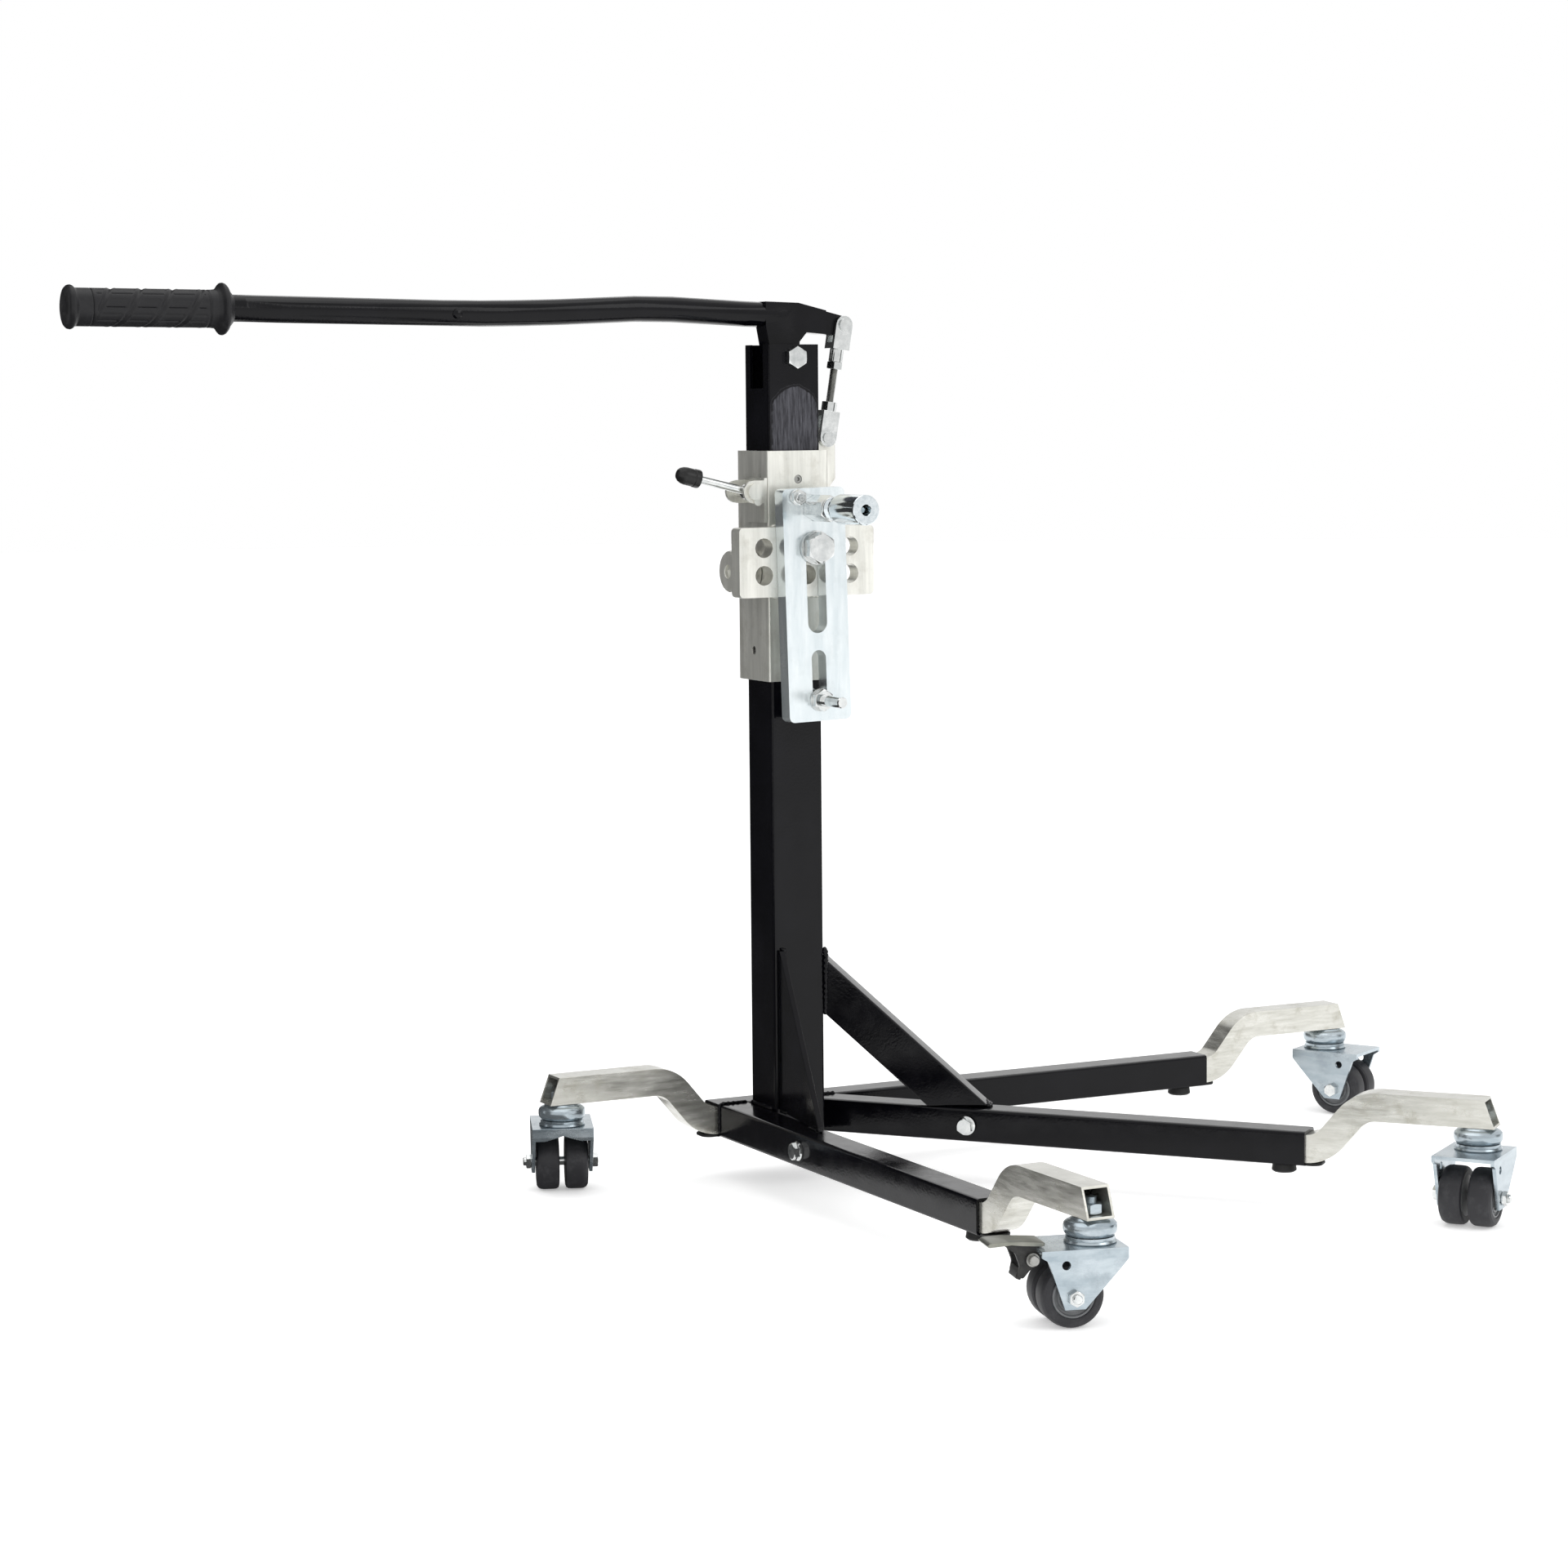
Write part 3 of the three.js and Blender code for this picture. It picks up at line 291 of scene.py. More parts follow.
def add_rings(mesh, rings, place, loop=False):
    """Joins rings of equal length, given as local points, into a skin that is closed or looped."""
    made = [[mesh.verts.new(place @ Vector(point)) for point in ring] for ring in rings]
    count = len(made[0])
    pairs = list(zip(made, made[1:]))
    if loop:
        pairs.append((made[-1], made[0]))
    for low, high in pairs:
        for i in range(count):
            j = (i + 1) % count
            mesh.faces.new((low[i], low[j], high[j], high[i]))
    if not loop:
        mesh.faces.new(reversed(made[0]))
        mesh.faces.new(made[-1])


def circle(radius, height, count):
    """Points of a level circle about local Z."""
    turns = [2 * math.pi * i / count for i in range(count)]
    return [(radius * math.cos(turn), radius * math.sin(turn), height) for turn in turns]


def add_turned(mesh, profile, place, count, loop=False):
    """A lathe piece from (radius, height) points in millimetres, with count sides."""
    rings = [circle(max(radius, 0.02) * MM, height * MM, count) for radius, height in profile]
    add_rings(mesh, rings, place, loop=loop)


def add_hex(mesh, flats, low, high, place, bore=0.0):
    """A hexagon bar in millimetres whose corners are chamfered as on a real nut or bolt head."""
    count = 72
    inner = flats / 2 * 0.97
    slope = math.tan(math.radians(26))

    def ring(radius, height):
        return circle(radius * MM, height * MM, count)

    def edge(height, way):
        points = []
        for i in range(count):
            from_flat = (360 * i / count + 30) % 60 - 30
            r = flats / 2 / math.cos(math.radians(from_flat))
            drop = (r - inner) * slope
            a = 2 * math.pi * i / count
            points.append((r * math.cos(a) * MM, r * math.sin(a) * MM, (height + way * drop) * MM))
        return points

    centre = max(bore, 0.05)
    bottom = [ring(centre, low), ring(inner, low), edge(low, 1)]
    top = [edge(high, -1), ring(inner, high), ring(centre, high)]
    add_rings(mesh, bottom + top, place, loop=bore > 0)


def thread(start, stop, root, crest, pitch):
    """Lathe points for a thread: a root and a crest in each pitch, until stop is passed."""
    points = []
    z = start
    while z < stop:
        points += [(root, z), (crest, z + pitch / 2)]
        z += pitch
    return points


def rounded(points, radius, steps):
    """Rounds the corners of a closed outline in the plane, each in a number of steps."""
    result = []
    count = len(points)
    for i, corner in enumerate(points):
        before, after = Vector(points[i - 1]), Vector(points[(i + 1) % count])
        corner = Vector(corner)
        a = (before - corner).normalized()
        b = (after - corner).normalized()
        reach = min(radius, (before - corner).length / 2, (after - corner).length / 2)
        for step in range(steps + 1):
            t = step / steps
            result.append(corner + a * reach * (1 - t) ** 2 + b * reach * t ** 2)
    return result


def add_plate(mesh, outline, low, high, place, edge):
    """A flat plate from a closed outline in millimetres, with its edges eased by edge."""
    centre = sum((Vector(p) for p in outline), Vector((0, 0))) / len(outline)

    def ring(inset, height):
        points = []
        for p in outline:
            away = Vector(p) - centre
            scale = max(away.length - inset, 0.1) / max(away.length, 0.1)
            q = centre + away * scale
            points.append((q.x * MM, q.y * MM, height * MM))
        return points

    sides = [ring(0, low + edge), ring(0, high - edge)]
    add_rings(mesh, [ring(edge, low), *sides, ring(edge, high)], place)


def add_weld(mesh, points, radius):
    """A rippled weld bead along points in millimetres from the mast's axis."""
    path = [at(*p) for p in points]
    lengths = [(b - a).length for a, b in zip(path, path[1:])]
    total = sum(lengths)
    step_length, sides = 0.9 * MM, 10
    steps = max(int(total / step_length), 6)
    rings = []
    for step in range(steps + 1):
        s = total * step / steps
        k = 0
        while k < len(lengths) - 1 and s > lengths[k]:
            s -= lengths[k]
            k += 1
        way = (path[k + 1] - path[k]).normalized()
        centre = path[k] + way * s
        ripple = 0.82 + 0.28 * abs(math.sin(step * 0.62)) + rng.uniform(-0.08, 0.08)
        taper = min(1.0, 0.35 + 1.3 * min(step, steps - step) / 4)
        place = placing(centre, way)
        ring = []
        for i in range(sides):
            a = 2 * math.pi * i / sides
            r = radius * MM * ripple * taper * (1 + 0.12 * math.sin(3 * a + step))
            ring.append(place @ Vector((r * math.cos(a), r * math.sin(a), 0)))
        rings.append(ring)
    add_rings(mesh, rings, Matrix.Identity(4))


# ---------------------------------------------------------------- CAD nodes that stay
def refine(name, material, width):
    """Eases a CAD node's hard edges by width millimetres with modifiers and gives it its material."""
    piece = NODES[name]
    for polygon in piece.data.polygons:
        polygon.use_smooth = True
    custom = piece.data.attributes.get("custom_normal")
    if custom:
        piece.data.attributes.remove(custom)
    weld = piece.modifiers.new("weld", "WELD")
    weld.merge_threshold = 1e-5
    flat = piece.modifiers.new("flat", "DECIMATE")
    flat.decimate_type = "DISSOLVE"
    flat.angle_limit = math.radians(0.6)
    bevel = piece.modifiers.new("bevel", "BEVEL")
    bevel.width = width * MM
    bevel.segments = 2
    bevel.limit_method = "ANGLE"
    bevel.angle_limit = math.radians(38)
    normals = piece.modifiers.new("normals", "WEIGHTED_NORMAL")
    normals.keep_sharp = False
    normals.weight = 80
    piece.data.materials.clear()
    piece.data.materials.append(material)


KEPT = {
    "spine_tube": (BLACK, 0.5), "cross_tube": (BLACK, 0.5), "diagonal_leg": (BLACK, 0.5),
    "mast": (SCRAPED, 0.4), "gusset": (BLACK, 0.6), "brace": (BLACK, 1.6), "lever_arm": (BLACK, 0.8),
    "sleeve": (ZINC, 0.4), "liner_lower": (NYLON, 0.3), "liner_upper": (NYLON, 0.3),
    "grub_screw_front": (THREAD, 0.3), "grub_screw_side": (THREAD, 0.3), "holder_plate": (ZINC, 0.9),
    "link_lug": (ZINC, 0.5), "lock_boss": (ZINC, 0.8), "latch_bracket": (ZINC, 0.5),
    "latch_lever": (ZINC_FINE, 0.4), "link_clevis_top": (ZINC_FINE, 0.7),
    "link_clevis_bottom": (ZINC_FINE, 0.7), "link_pin_top": (ZINC_FINE, 0.4),
    "adapter_plate": (BLUE, 0.9), "clamp_washer": (ZINC_FINE, 0.3),
    "foot_front": (FOOT, 0.5), "foot_right": (FOOT, 0.5), "foot_back": (FOOT, 0.5),
}
for end in ENDS:
    KEPT[f"arm_{end}"] = (NICKEL, 0.3)
    KEPT[f"castor_{end}_fork"] = (FORK, 0.5)
for name, (material, width) in KEPT.items():
    refine(name, material, width)


# ---------------------------------------------------------------- castors
TYRE_PROFILE = [(16.5, 3.4), (21.5, 2.7), (23.6, 3.4), (24.7, 5.2), (25, 8), (25, 16.5), (24.6, 19.2),
                (23.4, 21.4), (21.3, 22.6), (18.2, 22.9), (17.2, 22.5), (16.8, 21.2)]
HUB_PROFILE = [(4.2, 2.5), (17.4, 3.2), (17.4, 21.4), (16.4, 22.3), (15.2, 22.3), (14.6, 20.6), (12.9, 20.2),
               (12.3, 21.6), (10.6, 21.6), (10.0, 20.0), (8.6, 20.0), (8.2, 22.4), (4.2, 22.4)]
UPPER_RACE = [(0, 66.9), (17.8, 66.9), (18.6, 67.5), (20.2, 69.4), (20.7, 71.2), (20.7, 74.6), (20.2, 76.2),
              (18.8, 77.6), (16.6, 78.8), (15.4, 79.1), (14.8, 79.8), (13.6, 80.6), (0, 80.6)]
LOWER_RACE = [(0, 61.6), (19.6, 61.6), (20.3, 62.4), (19.4, 64.0), (17.4, 65.0), (16.4, 66.2), (0, 66.2)]
STEM_WASHER = [(0, 54.95), (8.6, 54.95), (9, 55.4), (9, 57.7), (0, 57.7)]
STEM_THREAD = [(4.55 if i % 2 else 4.95, 81 + 0.5 * i) for i in range(31)]
STEM = [(0, 58), (5, 58), *STEM_THREAD, (3.6, 96.2), (0, 96.2)]


def castor(end):
    """The wheels, races, stem and axle of one castor. Race and stem heights are above the floor."""
    swivel_at = JOINTS[f"swivel_{end}"]["pos_m"]
    roll = JOINTS[f"roll_{end}"]
    upright = placing(Vector((swivel_at[0], swivel_at[1], 0)), Z)
    axle_place = placing(Vector(roll["pos_m"]), Vector(roll["axis"]).normalized())

    tyres = bmesh.new()
    hubs = bmesh.new()
    for side in (1, -1):
        place = axle_place @ Matrix.Scale(side, 4, Z)
        add_turned(tyres, TYRE_PROFILE, place, 72, loop=True)
        add_turned(hubs, HUB_PROFILE, place, 64, loop=True)
    wheel = [f"castor_{end}_wheel"]
    finish_mesh(tyres, f"castor_{end}_tyres", TYRE, f"wheel_{end}", wheel)
    finish_mesh(hubs, f"castor_{end}_hubs", HUB, f"wheel_{end}", wheel)

    head = bmesh.new()
    add_turned(head, UPPER_RACE, upright, 72)
    add_turned(head, STEM, upright, 32)
    add_turned(head, STEM_WASHER, upright, 32)
    add_hex(head, 17, 83.3, 91.3, upright)
    finish_mesh(head, f"castor_{end}_races", FORK, "base", [f"castor_{end}_head"])

    race = bmesh.new()
    add_turned(race, LOWER_RACE, upright, 72)
    finish_mesh(race, f"castor_{end}_lower_race", FORK, f"fork_{end}")

    axle = bmesh.new()
    back = axle_place @ Matrix.Rotation(math.pi, 4, "X")
    add_turned(axle, [(0, -31), (4, -31), (4, 31), (0, 31)], axle_place, 32)
    add_hex(axle, 11, 27.3, 32.3, axle_place)
    add_hex(axle, 11, 27.3, 31.6, back)
    add_turned(axle, [(0, 31), (3.7, 31), (3.7, 33.6), (3.2, 34.3), (0, 34.3)], back, 32)
    finish_mesh(axle, f"castor_{end}_bolt", ZINC_FINE, f"fork_{end}", [f"castor_{end}_axle"])


for end in ENDS:
    castor(end)


# ---------------------------------------------------------------- brake pedal
def brake():
    """The front castor's pedal, drawn in the plane across its pin, outward along local X."""
    joint = JOINTS["brake_press"]
    pin_at = Vector(joint["pos_m"])
    across = Vector(joint["axis"]).normalized()
    trail = pin_at - Vector(JOINTS["roll_front"]["pos_m"])
    trail.z = 0
    place = axes_matrix(trail.normalized(), Z, across, pin_at)
    blade = bmesh.new()
    outline = [(-10, 9.4), (6, 10.6), (18, 11.6), (30, 10.8), (34.2, 10.6), (35, 12.2), (32, 14.0),
               (18, 14.4), (6, 13.6), (-10, 12.4)]
    add_plate(blade, rounded(outline, 1.2, 2), -13, 13, place, 0.6)
    finish_mesh(blade, "brake_pedal_blade", PEDAL, "brake", ["brake_pedal"])
    bracket = bmesh.new()
    cheek = [(-6, 10.4), (22, 11.6), (13, 5), (9.4, -5), (11, -12.6), (7, -15), (2, -9), (-5, -3), (-6, 4)]
    for low, high in ((-12, -9), (9, 12)):
        add_plate(bracket, rounded(cheek, 2.0, 3), low, high, place, 0.5)
    shoe = [(9.4, -6), (12.4, -14.4), (8.4, -16.2), (4.8, -9)]
    add_plate(bracket, rounded(shoe, 1.2, 3), -9.5, 9.5, place, 0.5)
    finish_mesh(bracket, "brake_pedal_bracket", CAST, "brake", ["brake_pedal"])
    pin = bmesh.new()
    pin_place = placing(pin_at, across)
    add_turned(pin, [(0, -20), (3.4, -20), (4, -19.4), (4, 19.4), (3.4, 20), (0, 20)], pin_place, 32)
    for side in (1, -1):
        collar = [(0, 12.5 * side), (5.2, 12.5 * side), (5.2, 15 * side), (0, 15 * side)]
        add_turned(pin, collar, pin_place, 32)
    finish_mesh(pin, "brake_pedal_pin", THREAD, "brake", ["brake_pedal"])


brake()


# ---------------------------------------------------------------- fasteners
def flanged_bolt(name, node, across):
    """A flanged hex bolt through a base tube, head on the side the axis points to."""
    low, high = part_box(node)
    flats, flange, head, nut, beyond = 13, 8.5, 7, 8, 2
    shift = (head - nut - beyond) / 2
    place = placing((low + high) / 2 - Vector(across).normalized() * shift * MM, across)
    seat = TUBE_SEAT
    nut_end = -seat - nut
    tip = nut_end - beyond
    mesh = bmesh.new()
    add_turned(mesh, [(0, seat), (flange, seat), (flange, seat + 1.0), (flange - 1.6, seat + 2.0),
                      (0, seat + 2.4)], place, 48)
    add_hex(mesh, flats, seat + 1.4, seat + head, place)
    add_turned(mesh, [(0, tip), (3.4, tip), (4, tip + 0.8), (4, seat), (0, seat)], place, 32)
    add_hex(mesh, flats, nut_end, -seat, place)
    finish_mesh(mesh, name, ZINC_FINE, "base", [node])


flanged_bolt("cross_bolt_flanged", "cross_bolt", (0, -1, 0))
flanged_bolt("leg_bolt_flanged", "leg_bolt", (LEG_WAY.y, -LEG_WAY.x, 0))


def along_x(node):
    """The placement of a turned node that lies along X, and its two ends in millimetres."""
    low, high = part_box(node)
    centre = (low + high) / 2
    return placing(Vector((0, centre.y, centre.z)), X), low.x / MM, high.x / MM


def pivot_bolt():
    place, x0, x1 = along_x("pivot_bolt")
    head_from = MAST.x / MM + MAST_SEAT
    nut_to = MAST.x / MM - MAST_SEAT
    mesh = bmesh.new()
    add_hex(mesh, 17, head_from, x1, place)
    shank = [(0, x0), (4.2, x0), (5, x0 + 0.9), (5, head_from + 0.7), (0, head_from + 0.7)]
    add_turned(mesh, shank, place, 40)
    add_hex(mesh, 17, nut_to - 8, nut_to, place)
    finish_mesh(mesh, "pivot_bolt_hex", ZINC_FINE, "base", ["pivot_bolt"])


def clamp_bolt():
    place, x0, x1 = along_x("clamp_bolt")
    mesh = bmesh.new()
    add_hex(mesh, 24, x1 - 10, x1, place)
    add_turned(mesh, [(0, x0), (7.1, x0), (8, x0 + 0.9), (8, x1 - 9), (0, x1 - 9)], place, 48)
    finish_mesh(mesh, "clamp_bolt_hex", ZINC_FINE, "carriage", ["clamp_bolt"])


def adapter_pin():
    """The frame pin: a stud through the plate, a threaded neck and a bored cylinder."""
    place, x0, x1 = along_x("adapter_pin")
    nut_low, nut_high = (corner.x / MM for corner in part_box("pin_nut"))
    body = x1 - 46.4
    profile = [(0, x0), (7.4, x0), (8, x0 + 0.6), (8, nut_high + 0.2), (9.3, nut_high + 0.6)]
    z = nut_high + 1.2
    while z < body - 3.4:
        profile += [(9.0, z), (9.9, z + 0.5), (9.0, z + 1.0)]
        z += 1.5
    profile += [(9.4, body - 2.6), (11.6, body - 2.2), (11.6, body - 0.4), (10.6, body), (10.6, body + 0.8),
                (12.2, body + 1.4), (13, body + 4), (13, x1 - 1.4), (12.5, x1 - 0.5), (11.8, x1), (4.9, x1),
                (4.5, x1 - 0.5), (4.5, x1 - 28), (0, x1 - 30)]
    mesh = bmesh.new()
    add_turned(mesh, profile, place, 96)
    finish_mesh(mesh, "adapter_pin_turned", BLUE_BRIGHT, "adapter", ["adapter_pin"])
    nut = bmesh.new()
    bore = 8.1
    add_hex(nut, 20, nut_low, nut_high - 2.6, place, bore=bore)
    add_turned(nut, [(bore, nut_high - 3), (10, nut_high - 3), (10, nut_high - 0.4), (9.6, nut_high),
                     (bore, nut_high)], place, 72, loop=True)
    finish_mesh(nut, "pin_nut_hex", ZINC_FINE, "adapter", ["pin_nut"])


def stop_screw():
    place, x0, x1 = along_x("stop_screw")
    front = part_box("adapter_plate")[1].x / MM
    collar = [(4, front + 0.4), (6.9, front + 0.4), (6.9, front + 1.4), (4, front + 1.8)]
    socket = [(4, x1 - 0.6), (3.4, x1), (1.9, x1), (1.9, x1 - 3), (0, x1 - 3)]
    mesh = bmesh.new()
    add_turned(mesh, [(0, x0), (4, x0), *collar, *socket], place, 40)
    add_hex(mesh, 12, front + 1.2, x1 - 2.2, place)
    finish_mesh(mesh, "stop_screw_hex", ZINC_FINE, "adapter", ["stop_screw"])


def lower_stud():
    place, x0, x1 = along_x("lower_stud")
    back, front = (corner.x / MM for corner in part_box("adapter_plate"))
    ridges = thread(front + 8.4, front + 18, 4.55, 4.95, 0.8)
    plain_from = ridges[-1][1] + 1.4
    profile = [(0, x0), (4.2, x0), (5, x0 + 0.8), (5, front + 8), *ridges, (4.9, plain_from), (4.9, x1 - 1.2),
               (4.2, x1), (0, x1)]
    mesh = bmesh.new()
    add_turned(mesh, profile, place, 40)
    add_turned(mesh, [(0, front + 0.3), (10, front + 0.3), (10, front + 1.7), (0, front + 1.7)], place, 48)
    add_hex(mesh, 17, front + 1.7, front + 8.3, place)
    add_hex(mesh, 17, x0 + 1.6, back - 0.3, place)
    finish_mesh(mesh, "lower_stud_threaded", ZINC_FINE, "stud", ["lower_stud"])


pivot_bolt()
clamp_bolt()
adapter_pin()
stop_screw()
lower_stud()


# ---------------------------------------------------------------- link rod
def link_rod():
    """The threaded rod and its lock nut, placed from the nut along the link."""
    low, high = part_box("link_lock_nut")
    nut_at = (low + high) / 2
    tilt = math.radians(LINK_TILT)
    place = placing(Vector((MAST.x, nut_at.y, nut_at.z)), (0, math.sin(tilt), math.cos(tilt)))
    bottom, top = -33.5, 14
    rod = bmesh.new()
    add_turned(rod, [(0, bottom), *thread(bottom, top, 3.05, 3.5, 0.9), (0, top)], place, 32)
    finish_mesh(rod, "link_rod_threaded", THREAD, "link", ["link_rod"])
    nut = bmesh.new()
    add_hex(nut, 13, -3.3, 3.3, place, bore=3.5)
    finish_mesh(nut, "link_lock_nut_hex", ZINC_FINE, "link", ["link_lock_nut"])


link_rod()


# ---------------------------------------------------------------- grip and latch cap
GRIP_PROFILE = [(0, 9), (0.4, 13), (1.4, 16.2), (3, 17.7), (5, 18), (6.6, 17.4), (8, 16), (9, 15.5),
                (122, 15.5), (126, 15.9), (128.5, 17.6), (130, 20), (131.2, 21.2), (132.6, 21.4),
                (134, 20.9), (135.4, 19.4), (137, 16.2), (139.2, 13.8), (140.3, 12.4)]


def lathe_radius(along):
    """The grip's plain radius at a distance from its outer end."""
    for (s0, r0), (s1, r1) in zip(GRIP_PROFILE, GRIP_PROFILE[1:]):
        if along <= s1:
            return r0 + (r1 - r0) * (along - s0) / (s1 - s0)
    return GRIP_PROFILE[-1][1]


def dip(phase, width):
    """1 in the middle of a groove, 0 outside it."""
    distance = abs(phase - round(phase))
    return max(0.0, 1 - distance / width)


def tread(along, turn):
    """How far the tread stands off the plain radius: two helical grooves, their ridges and fine rows."""
    tread_from, tread_to, lead = 24, 116, 26
    if not tread_from < along < tread_to:
        return 0.0
    fade = min(1.0, along - tread_from, tread_to - along)
    helix = along / lead + turn / math.pi
    groove = dip(helix, 0.09)
    ridge = max(0.0, dip(helix + 0.13, 0.035), dip(helix - 0.13, 0.035))
    near_groove = abs(helix - round(helix)) < 0.17
    rows = 0.0 if near_groove else dip(8 * turn / math.pi, 0.10)
    return fade * (-1.1 * groove - 0.8 * rows + 0.25 * ridge)


def grip():
    low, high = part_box("grip")
    length = (high.y - low.y) / MM
    droop = 1.4 / 140
    start = Vector((MAST.x, low.y, (low.z + high.z) / 2 + 0.6 * MM))
    place = placing(start, (0, 1, -droop))
    count, step = 120, 0.7
    total = int(length / step)
    rings = []
    for k in range(total + 1):
        along = k * length / total
        in_ring_groove = 20.5 < along < 21.5 or 118.5 < along < 119.5
        ring = []
        for i in range(count):
            turn = 2 * math.pi * i / count
            r = lathe_radius(along) + tread(along, turn) - (0.7 if in_ring_groove else 0.0)
            ring.append((r * MM * math.cos(turn), r * MM * math.sin(turn), along * MM))
        rings.append(ring)
    recess = ((1.4, 0.3), (5, 0.2), (8.2, 0.5))
    end_face = [circle(radius * MM, depth * MM, count) for radius, depth in recess]
    mesh = bmesh.new()
    add_rings(mesh, [*end_face, *rings], place)
    finish_mesh(mesh, "grip_rubber", GRIP, "lever", ["grip"], sharp=60)


grip()


def latch_cap():
    """The rubber cap on the latch lever, which leaves its pivot outward and up."""
    reach, rise = 66, 16
    length, beyond = 22, 6
    low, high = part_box("latch_cap")
    pivot = Vector(JOINTS["latch_turn"]["pos_m"])
    way = Vector((0, -reach, rise)).normalized()
    origin = Vector(((low.x + high.x) / 2, pivot.y, pivot.z)) + way * (reach - length + beyond) * MM
    profile = [(3.4, 0), (6.9, 0), (7.9, 0.5), (8.15, 1.6), (8.0, 5.4), (7.6, 6.0), (7.7, 7), (7.7, 13.5),
               (7.2, 16.6), (6.0, 19.4), (4.2, 21.2), (2.0, 22), (0, 22.2)]
    mesh = bmesh.new()
    add_turned(mesh, profile, placing(origin, way), 56)
    finish_mesh(mesh, "latch_cap_rubber", CAP, "latch", ["latch_cap"])


latch_cap()


# ---------------------------------------------------------------- welds and small marks
def from_mast(corner):
    """A corner of a box in millimetres from the mast's axis."""
    return Vector((corner.x - MAST.x, corner.y - MAST.y, corner.z)) / MM


BASE_WELDS = [
    ([(-25.6, -20, 68.6), (-25.6, 20, 68.6)], 2.2),
    ([(-21, -25.8, 68.6), (19, -25.8, 68.6)], 2.2),
    ([(25.8, -15.5, 196), (25.8, -15.5, 211), (26.4, -19, 213)], 1.9),
    ([(112, -35.5, BEAD_HEIGHT), (134, -38.6, BEAD_HEIGHT), (136, -36, BEAD_HEIGHT)], 2.2),
    ([(30, -22.6, BEAD_HEIGHT), (46, -24.6, BEAD_HEIGHT)], 1.8),
    ([(22.4, 26.2, 150), (23.6, 26.2, 176), (24.2, 26.2, 204), (22, 26.2, 211)], 2.6),
    ([(-8, 26.4, 150), (-8, 26.4, 210)], 2.2),
    ([(-26.6, 24, 44), (-26.6, 24, 66)], 2.0),
    ([(-26.6, 60, 44), (-26.4, 60, 68), (-26.4, 30, 68.4)], 2.0),
    ([(-26.4, -56.2, 42), (-26.4, -56.2, 66), (-26.6, -54, 68.4), (-26.6, -28, 68.4)], 1.6),
]


def base_welds():
    """Beads round the mast's foot, the gusset, the brace and the tube corners."""
    beads = bmesh.new()
    for points, radius in BASE_WELDS:
        add_weld(beads, points, radius)
    toe = from_mast(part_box("brace")[1])
    round_toe = [(toe.x + x, toe.y + y, BEAD_HEIGHT) for x, y in ((-24, -4), (-6, -9), (0.5, -16))]
    add_weld(beads, round_toe, 2.2)
    finish_mesh(beads, "weld_beads", BLACK, "base", sharp=70)


def carriage_welds():
    """Beads above and below the holder plate and down both sides of the link lug."""
    beads = bmesh.new()
    sleeve_low, sleeve_high = (from_mast(corner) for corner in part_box("sleeve"))
    plate_low, plate_high = (from_mast(corner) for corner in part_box("holder_plate"))
    lug_low, lug_high = (from_mast(corner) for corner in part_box("link_lug"))
    front = sleeve_high.x + 0.5
    for z in (plate_low.z - 0.3, plate_high.z + 0.3):
        add_weld(beads, [(front, sleeve_low.y + 3, z), (front, sleeve_high.y - 3, z)], 1.7)
    beside = sleeve_high.y + 0.4
    for x in (lug_low.x - 0.4, lug_high.x + 0.4):
        add_weld(beads, [(x, beside, 619), (x, beside, 650)], 1.5)
    finish_mesh(beads, "carriage_weld_beads", ZINC, "carriage", sharp=70)


base_welds()
carriage_welds()


def tube_end_lip(end, way, reach):
    """The black insert that shows between a base tube's end and its arm, reach from the castor."""
    low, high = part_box(f"castor_{end}_head")
    castor_at = (low + high) / 2
    start = Vector((castor_at.x, castor_at.y, 0)) - way * reach
    place = axes_matrix(way, Z.cross(way), Z, start)
    outline = [(-2, -12), (8, -12), (13, -7), (13, 7), (8, 12), (-2, 12)]
    mesh = bmesh.new()
    add_plate(mesh, rounded(outline, 3, 3), 38.2, 40.6, place, 0.4)
    finish_mesh(mesh, f"tube_end_lip_{end}", FOOT, "base")


def reach_of(end, corner, way):
    """How far a castor stands beyond its tube's end."""
    low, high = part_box(f"castor_{end}_head")
    return abs(((low + high) / 2 - corner).dot(way))


SPINE_LOW, SPINE_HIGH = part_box("spine_tube")
CROSS_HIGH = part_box("cross_tube")[1]
LEG_REACH = 147 * MM    # from the diagonal leg's end to its castor
tube_end_lip("left", -Y, reach_of("left", SPINE_LOW, -Y))
tube_end_lip("front", X, reach_of("front", CROSS_HIGH, X))
tube_end_lip("right", LEG_WAY, LEG_REACH)
tube_end_lip("back", Y, reach_of("back", SPINE_HIGH, Y))


def lever_rivet():
    mesh = bmesh.new()
    dome = [(0, 0), (4.4, 0), (4.2, 1.2), (3.2, 2.1), (1.5, 2.6), (0, 2.7)]
    add_turned(mesh, dome, placing(at(10.2, -310, 771), X), 32)
    finish_mesh(mesh, "lever_rivet", BLACK, "lever")


lever_rivet()


# ---------------------------------------------------------------- floor, light and camera
def floor():
    """A pale disc that glows a little, so that shadows stay light."""
    mesh = bmesh.new()
    mesh.faces.new([mesh.verts.new(point) for point in circle(16, -0.2 * MM, 96)])
    data = bpy.data.meshes.new("floor")
    mesh.to_mesh(data)
    mesh.free()
    plane = bpy.data.objects.new("floor", data)
    bpy.context.collection.objects.link(plane)
    paint = Paint("pale_floor", roughness=0.85, Specular_IOR_Level=0.1)
    paint.colour(paint.mix(paint.noise(3), (0.93, 0.93, 0.93), (0.95, 0.95, 0.95)))
    paint.shader.inputs["Emission Color"].default_value = (1, 1, 1, 1)
    paint.shader.inputs["Emission Strength"].default_value = 0.35
    data.materials.append(paint.material)


floor()


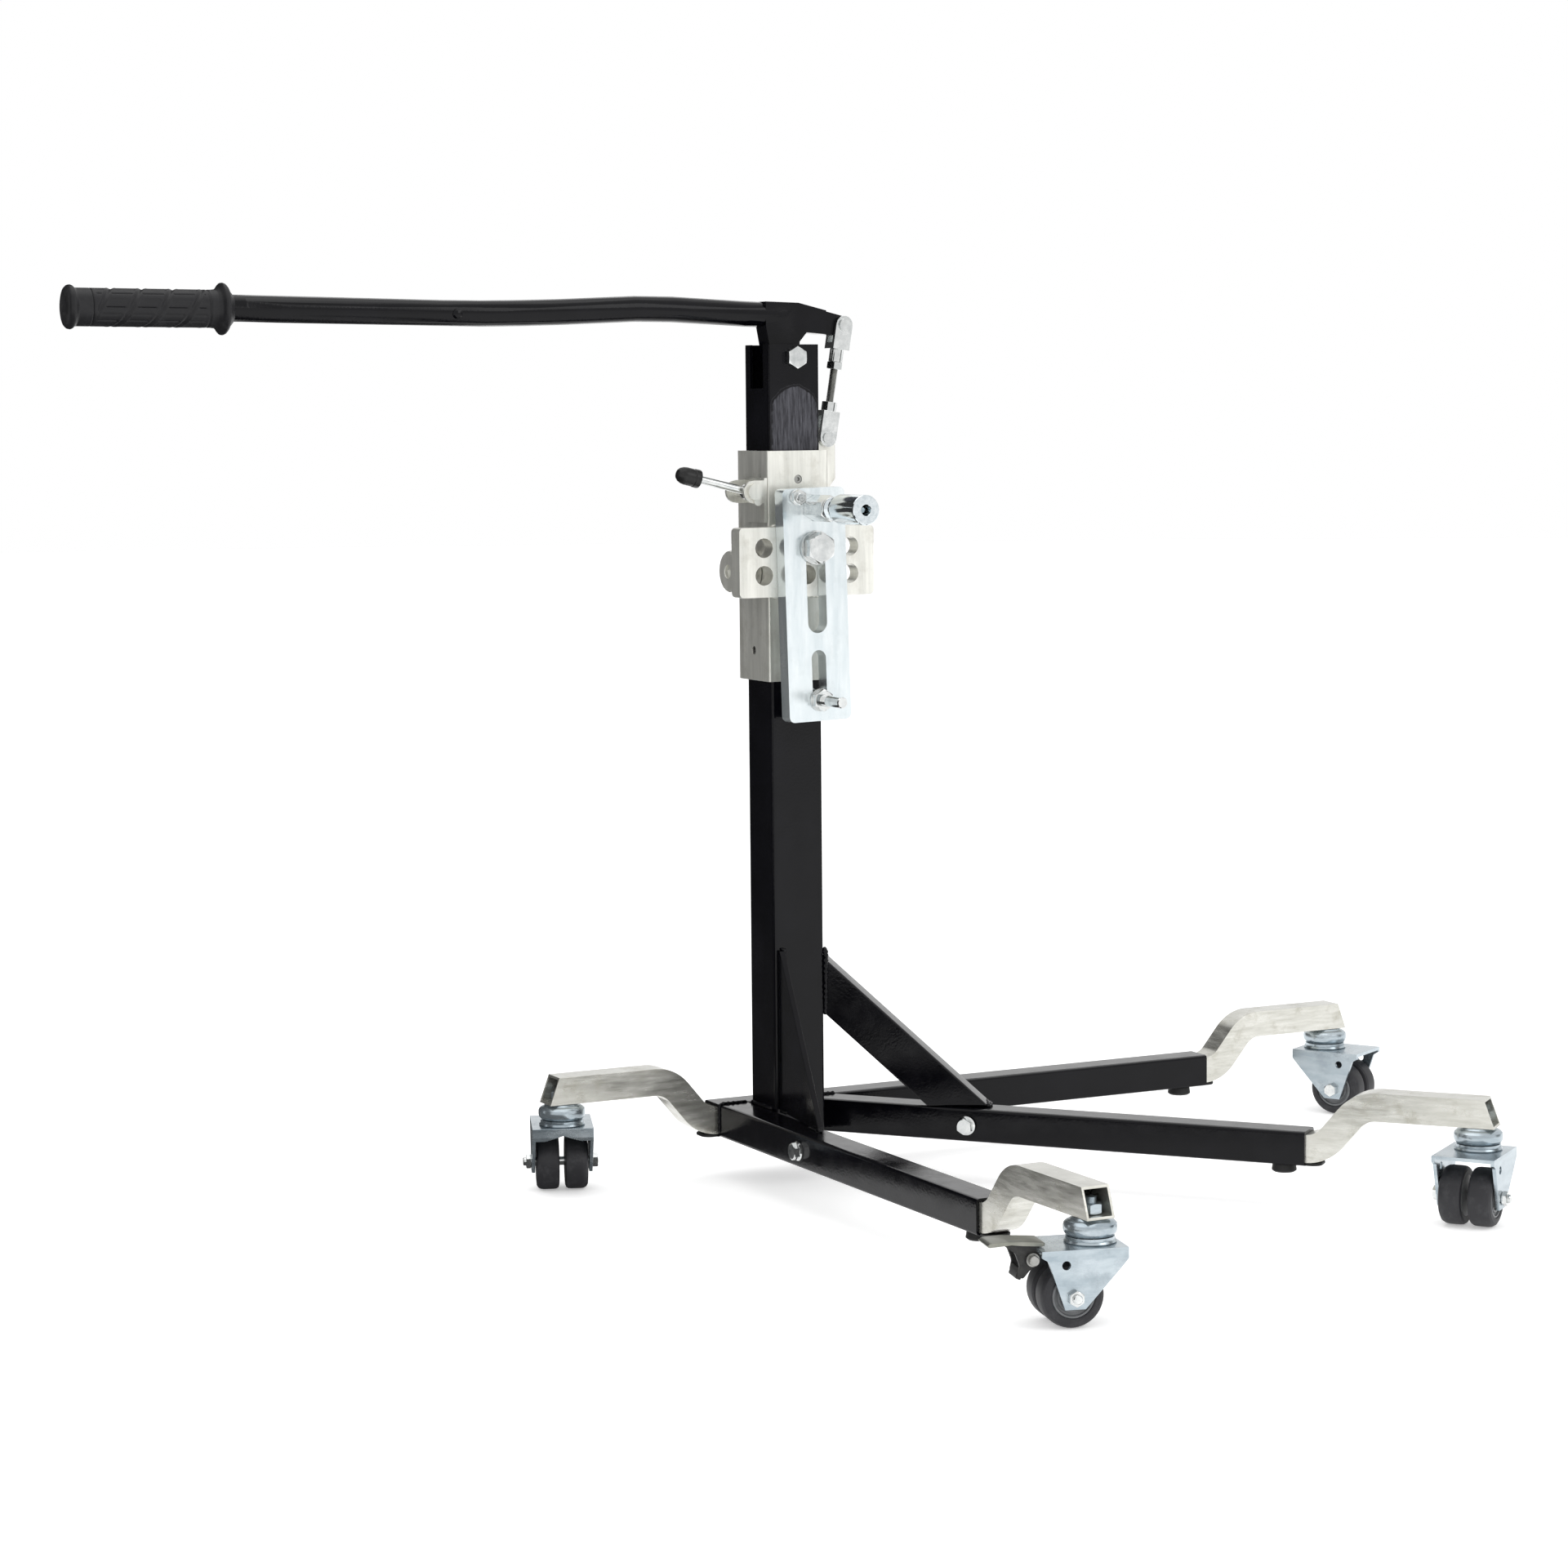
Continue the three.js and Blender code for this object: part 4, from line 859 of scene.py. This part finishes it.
def world():
    """A plain pale room."""
    made = bpy.data.worlds.new("room")
    bpy.context.scene.world = made
    made.use_nodes = True
    back = made.node_tree.nodes["Background"]
    back.inputs["Color"].default_value = (1, 1, 1, 1)
    back.inputs["Strength"].default_value = 1.0


def screen(name, centre, across, up, level):
    """A dark screen that only gloss reflects, as a photographer's flag shapes metal and paint."""
    data = bpy.data.meshes.new(name)
    corners = [centre - across - up, centre + across - up, centre + across + up, centre - across + up]
    data.from_pydata([tuple(c) for c in corners], [], [(0, 1, 2, 3)])
    sheet = bpy.data.objects.new(name, data)
    bpy.context.collection.objects.link(sheet)
    material = bpy.data.materials.new(name)
    material.use_nodes = True
    shader = material.node_tree.nodes["Principled BSDF"]
    shader.inputs["Base Color"].default_value = (0, 0, 0, 1)
    shader.inputs["Specular IOR Level"].default_value = 0.0
    shader.inputs["Emission Color"].default_value = (1, 1, 1, 1)
    shader.inputs["Emission Strength"].default_value = level
    data.materials.append(material)
    sheet.visible_camera = False
    sheet.visible_diffuse = False
    sheet.visible_shadow = False


def heading_axes(heading, distance):
    """The floor point a distance out on a heading, with the ways out and across. Heading 0 is X, 90 is Y."""
    turn = math.radians(heading)
    out = Vector((math.cos(turn), math.sin(turn), 0))
    return Vector((MAST.x, 0, 0)) + out * distance, out, Z.cross(out)


def flag(name, heading, distance, width, height, level):
    """An upright screen that faces the mast."""
    centre, _, across = heading_axes(heading, distance)
    screen(name, centre + Z * (height / 2 - 0.4), across * width / 2, Z * height / 2, level)


def card(name, heading, distance, width, depth, level):
    """A screen that lies on the floor."""
    centre, out, across = heading_axes(heading, distance)
    screen(name, centre + Z * MM, across * width / 2, out * depth / 2, level)


flag("flag_left", 207, 1.5, 1.8, 3.0, 0.05)
flag("flag_low_left", 262, 1.9, 1.1, 2.4, 0.05)
card("card_left", 250, 1.2, 2.9, 2.1, 0.09)
flag("flag_right", 62, 2.4, 0.9, 2.6, 0.20)
world()


def area_light(name, place, target, size, power):
    data = bpy.data.lights.new(name, "AREA")
    data.shape = "RECTANGLE"
    data.size, data.size_y = size
    data.energy = power
    lamp = bpy.data.objects.new(name, data)
    bpy.context.collection.objects.link(lamp)
    lamp.location = place
    lamp.rotation_euler = (Vector(target) - Vector(place)).to_track_quat("-Z", "Y").to_euler()


area_light("key", (2.6, 1.6, 2.2), (-0.2, 0, 0.4), (1.6, 1.6), 14)
area_light("top", (-0.4, -0.3, 3.2), (-0.2, 0, 0.3), (2.4, 2.4), 14)


def camera():
    """Stands off the adapter plate's corner, a little above the carriage, looking slightly down."""
    place = (2.72775, -1.51586, 0.69192)
    heading, pitch, roll = (math.radians(v) for v in (26.78, 5.72, 0.52))
    right = Vector((math.sin(heading), math.cos(heading), 0))
    ahead = Vector((-math.cos(heading), math.sin(heading), 0))
    view = ahead * math.cos(pitch) - Z * math.sin(pitch)
    down = -Z * math.cos(pitch) - ahead * math.sin(pitch)
    across = right * math.cos(roll) + down * math.sin(roll)
    down = down * math.cos(roll) - right * math.sin(roll)
    data = bpy.data.cameras.new("camera")
    data.sensor_width = 36
    data.lens = 86.77
    data.clip_end = 60
    eye = bpy.data.objects.new("camera", data)
    bpy.context.collection.objects.link(eye)
    eye.matrix_world = axes_matrix(across, -down, -view, place)
    bpy.context.scene.camera = eye


camera()
bpy.context.scene.view_settings.view_transform = "Standard"
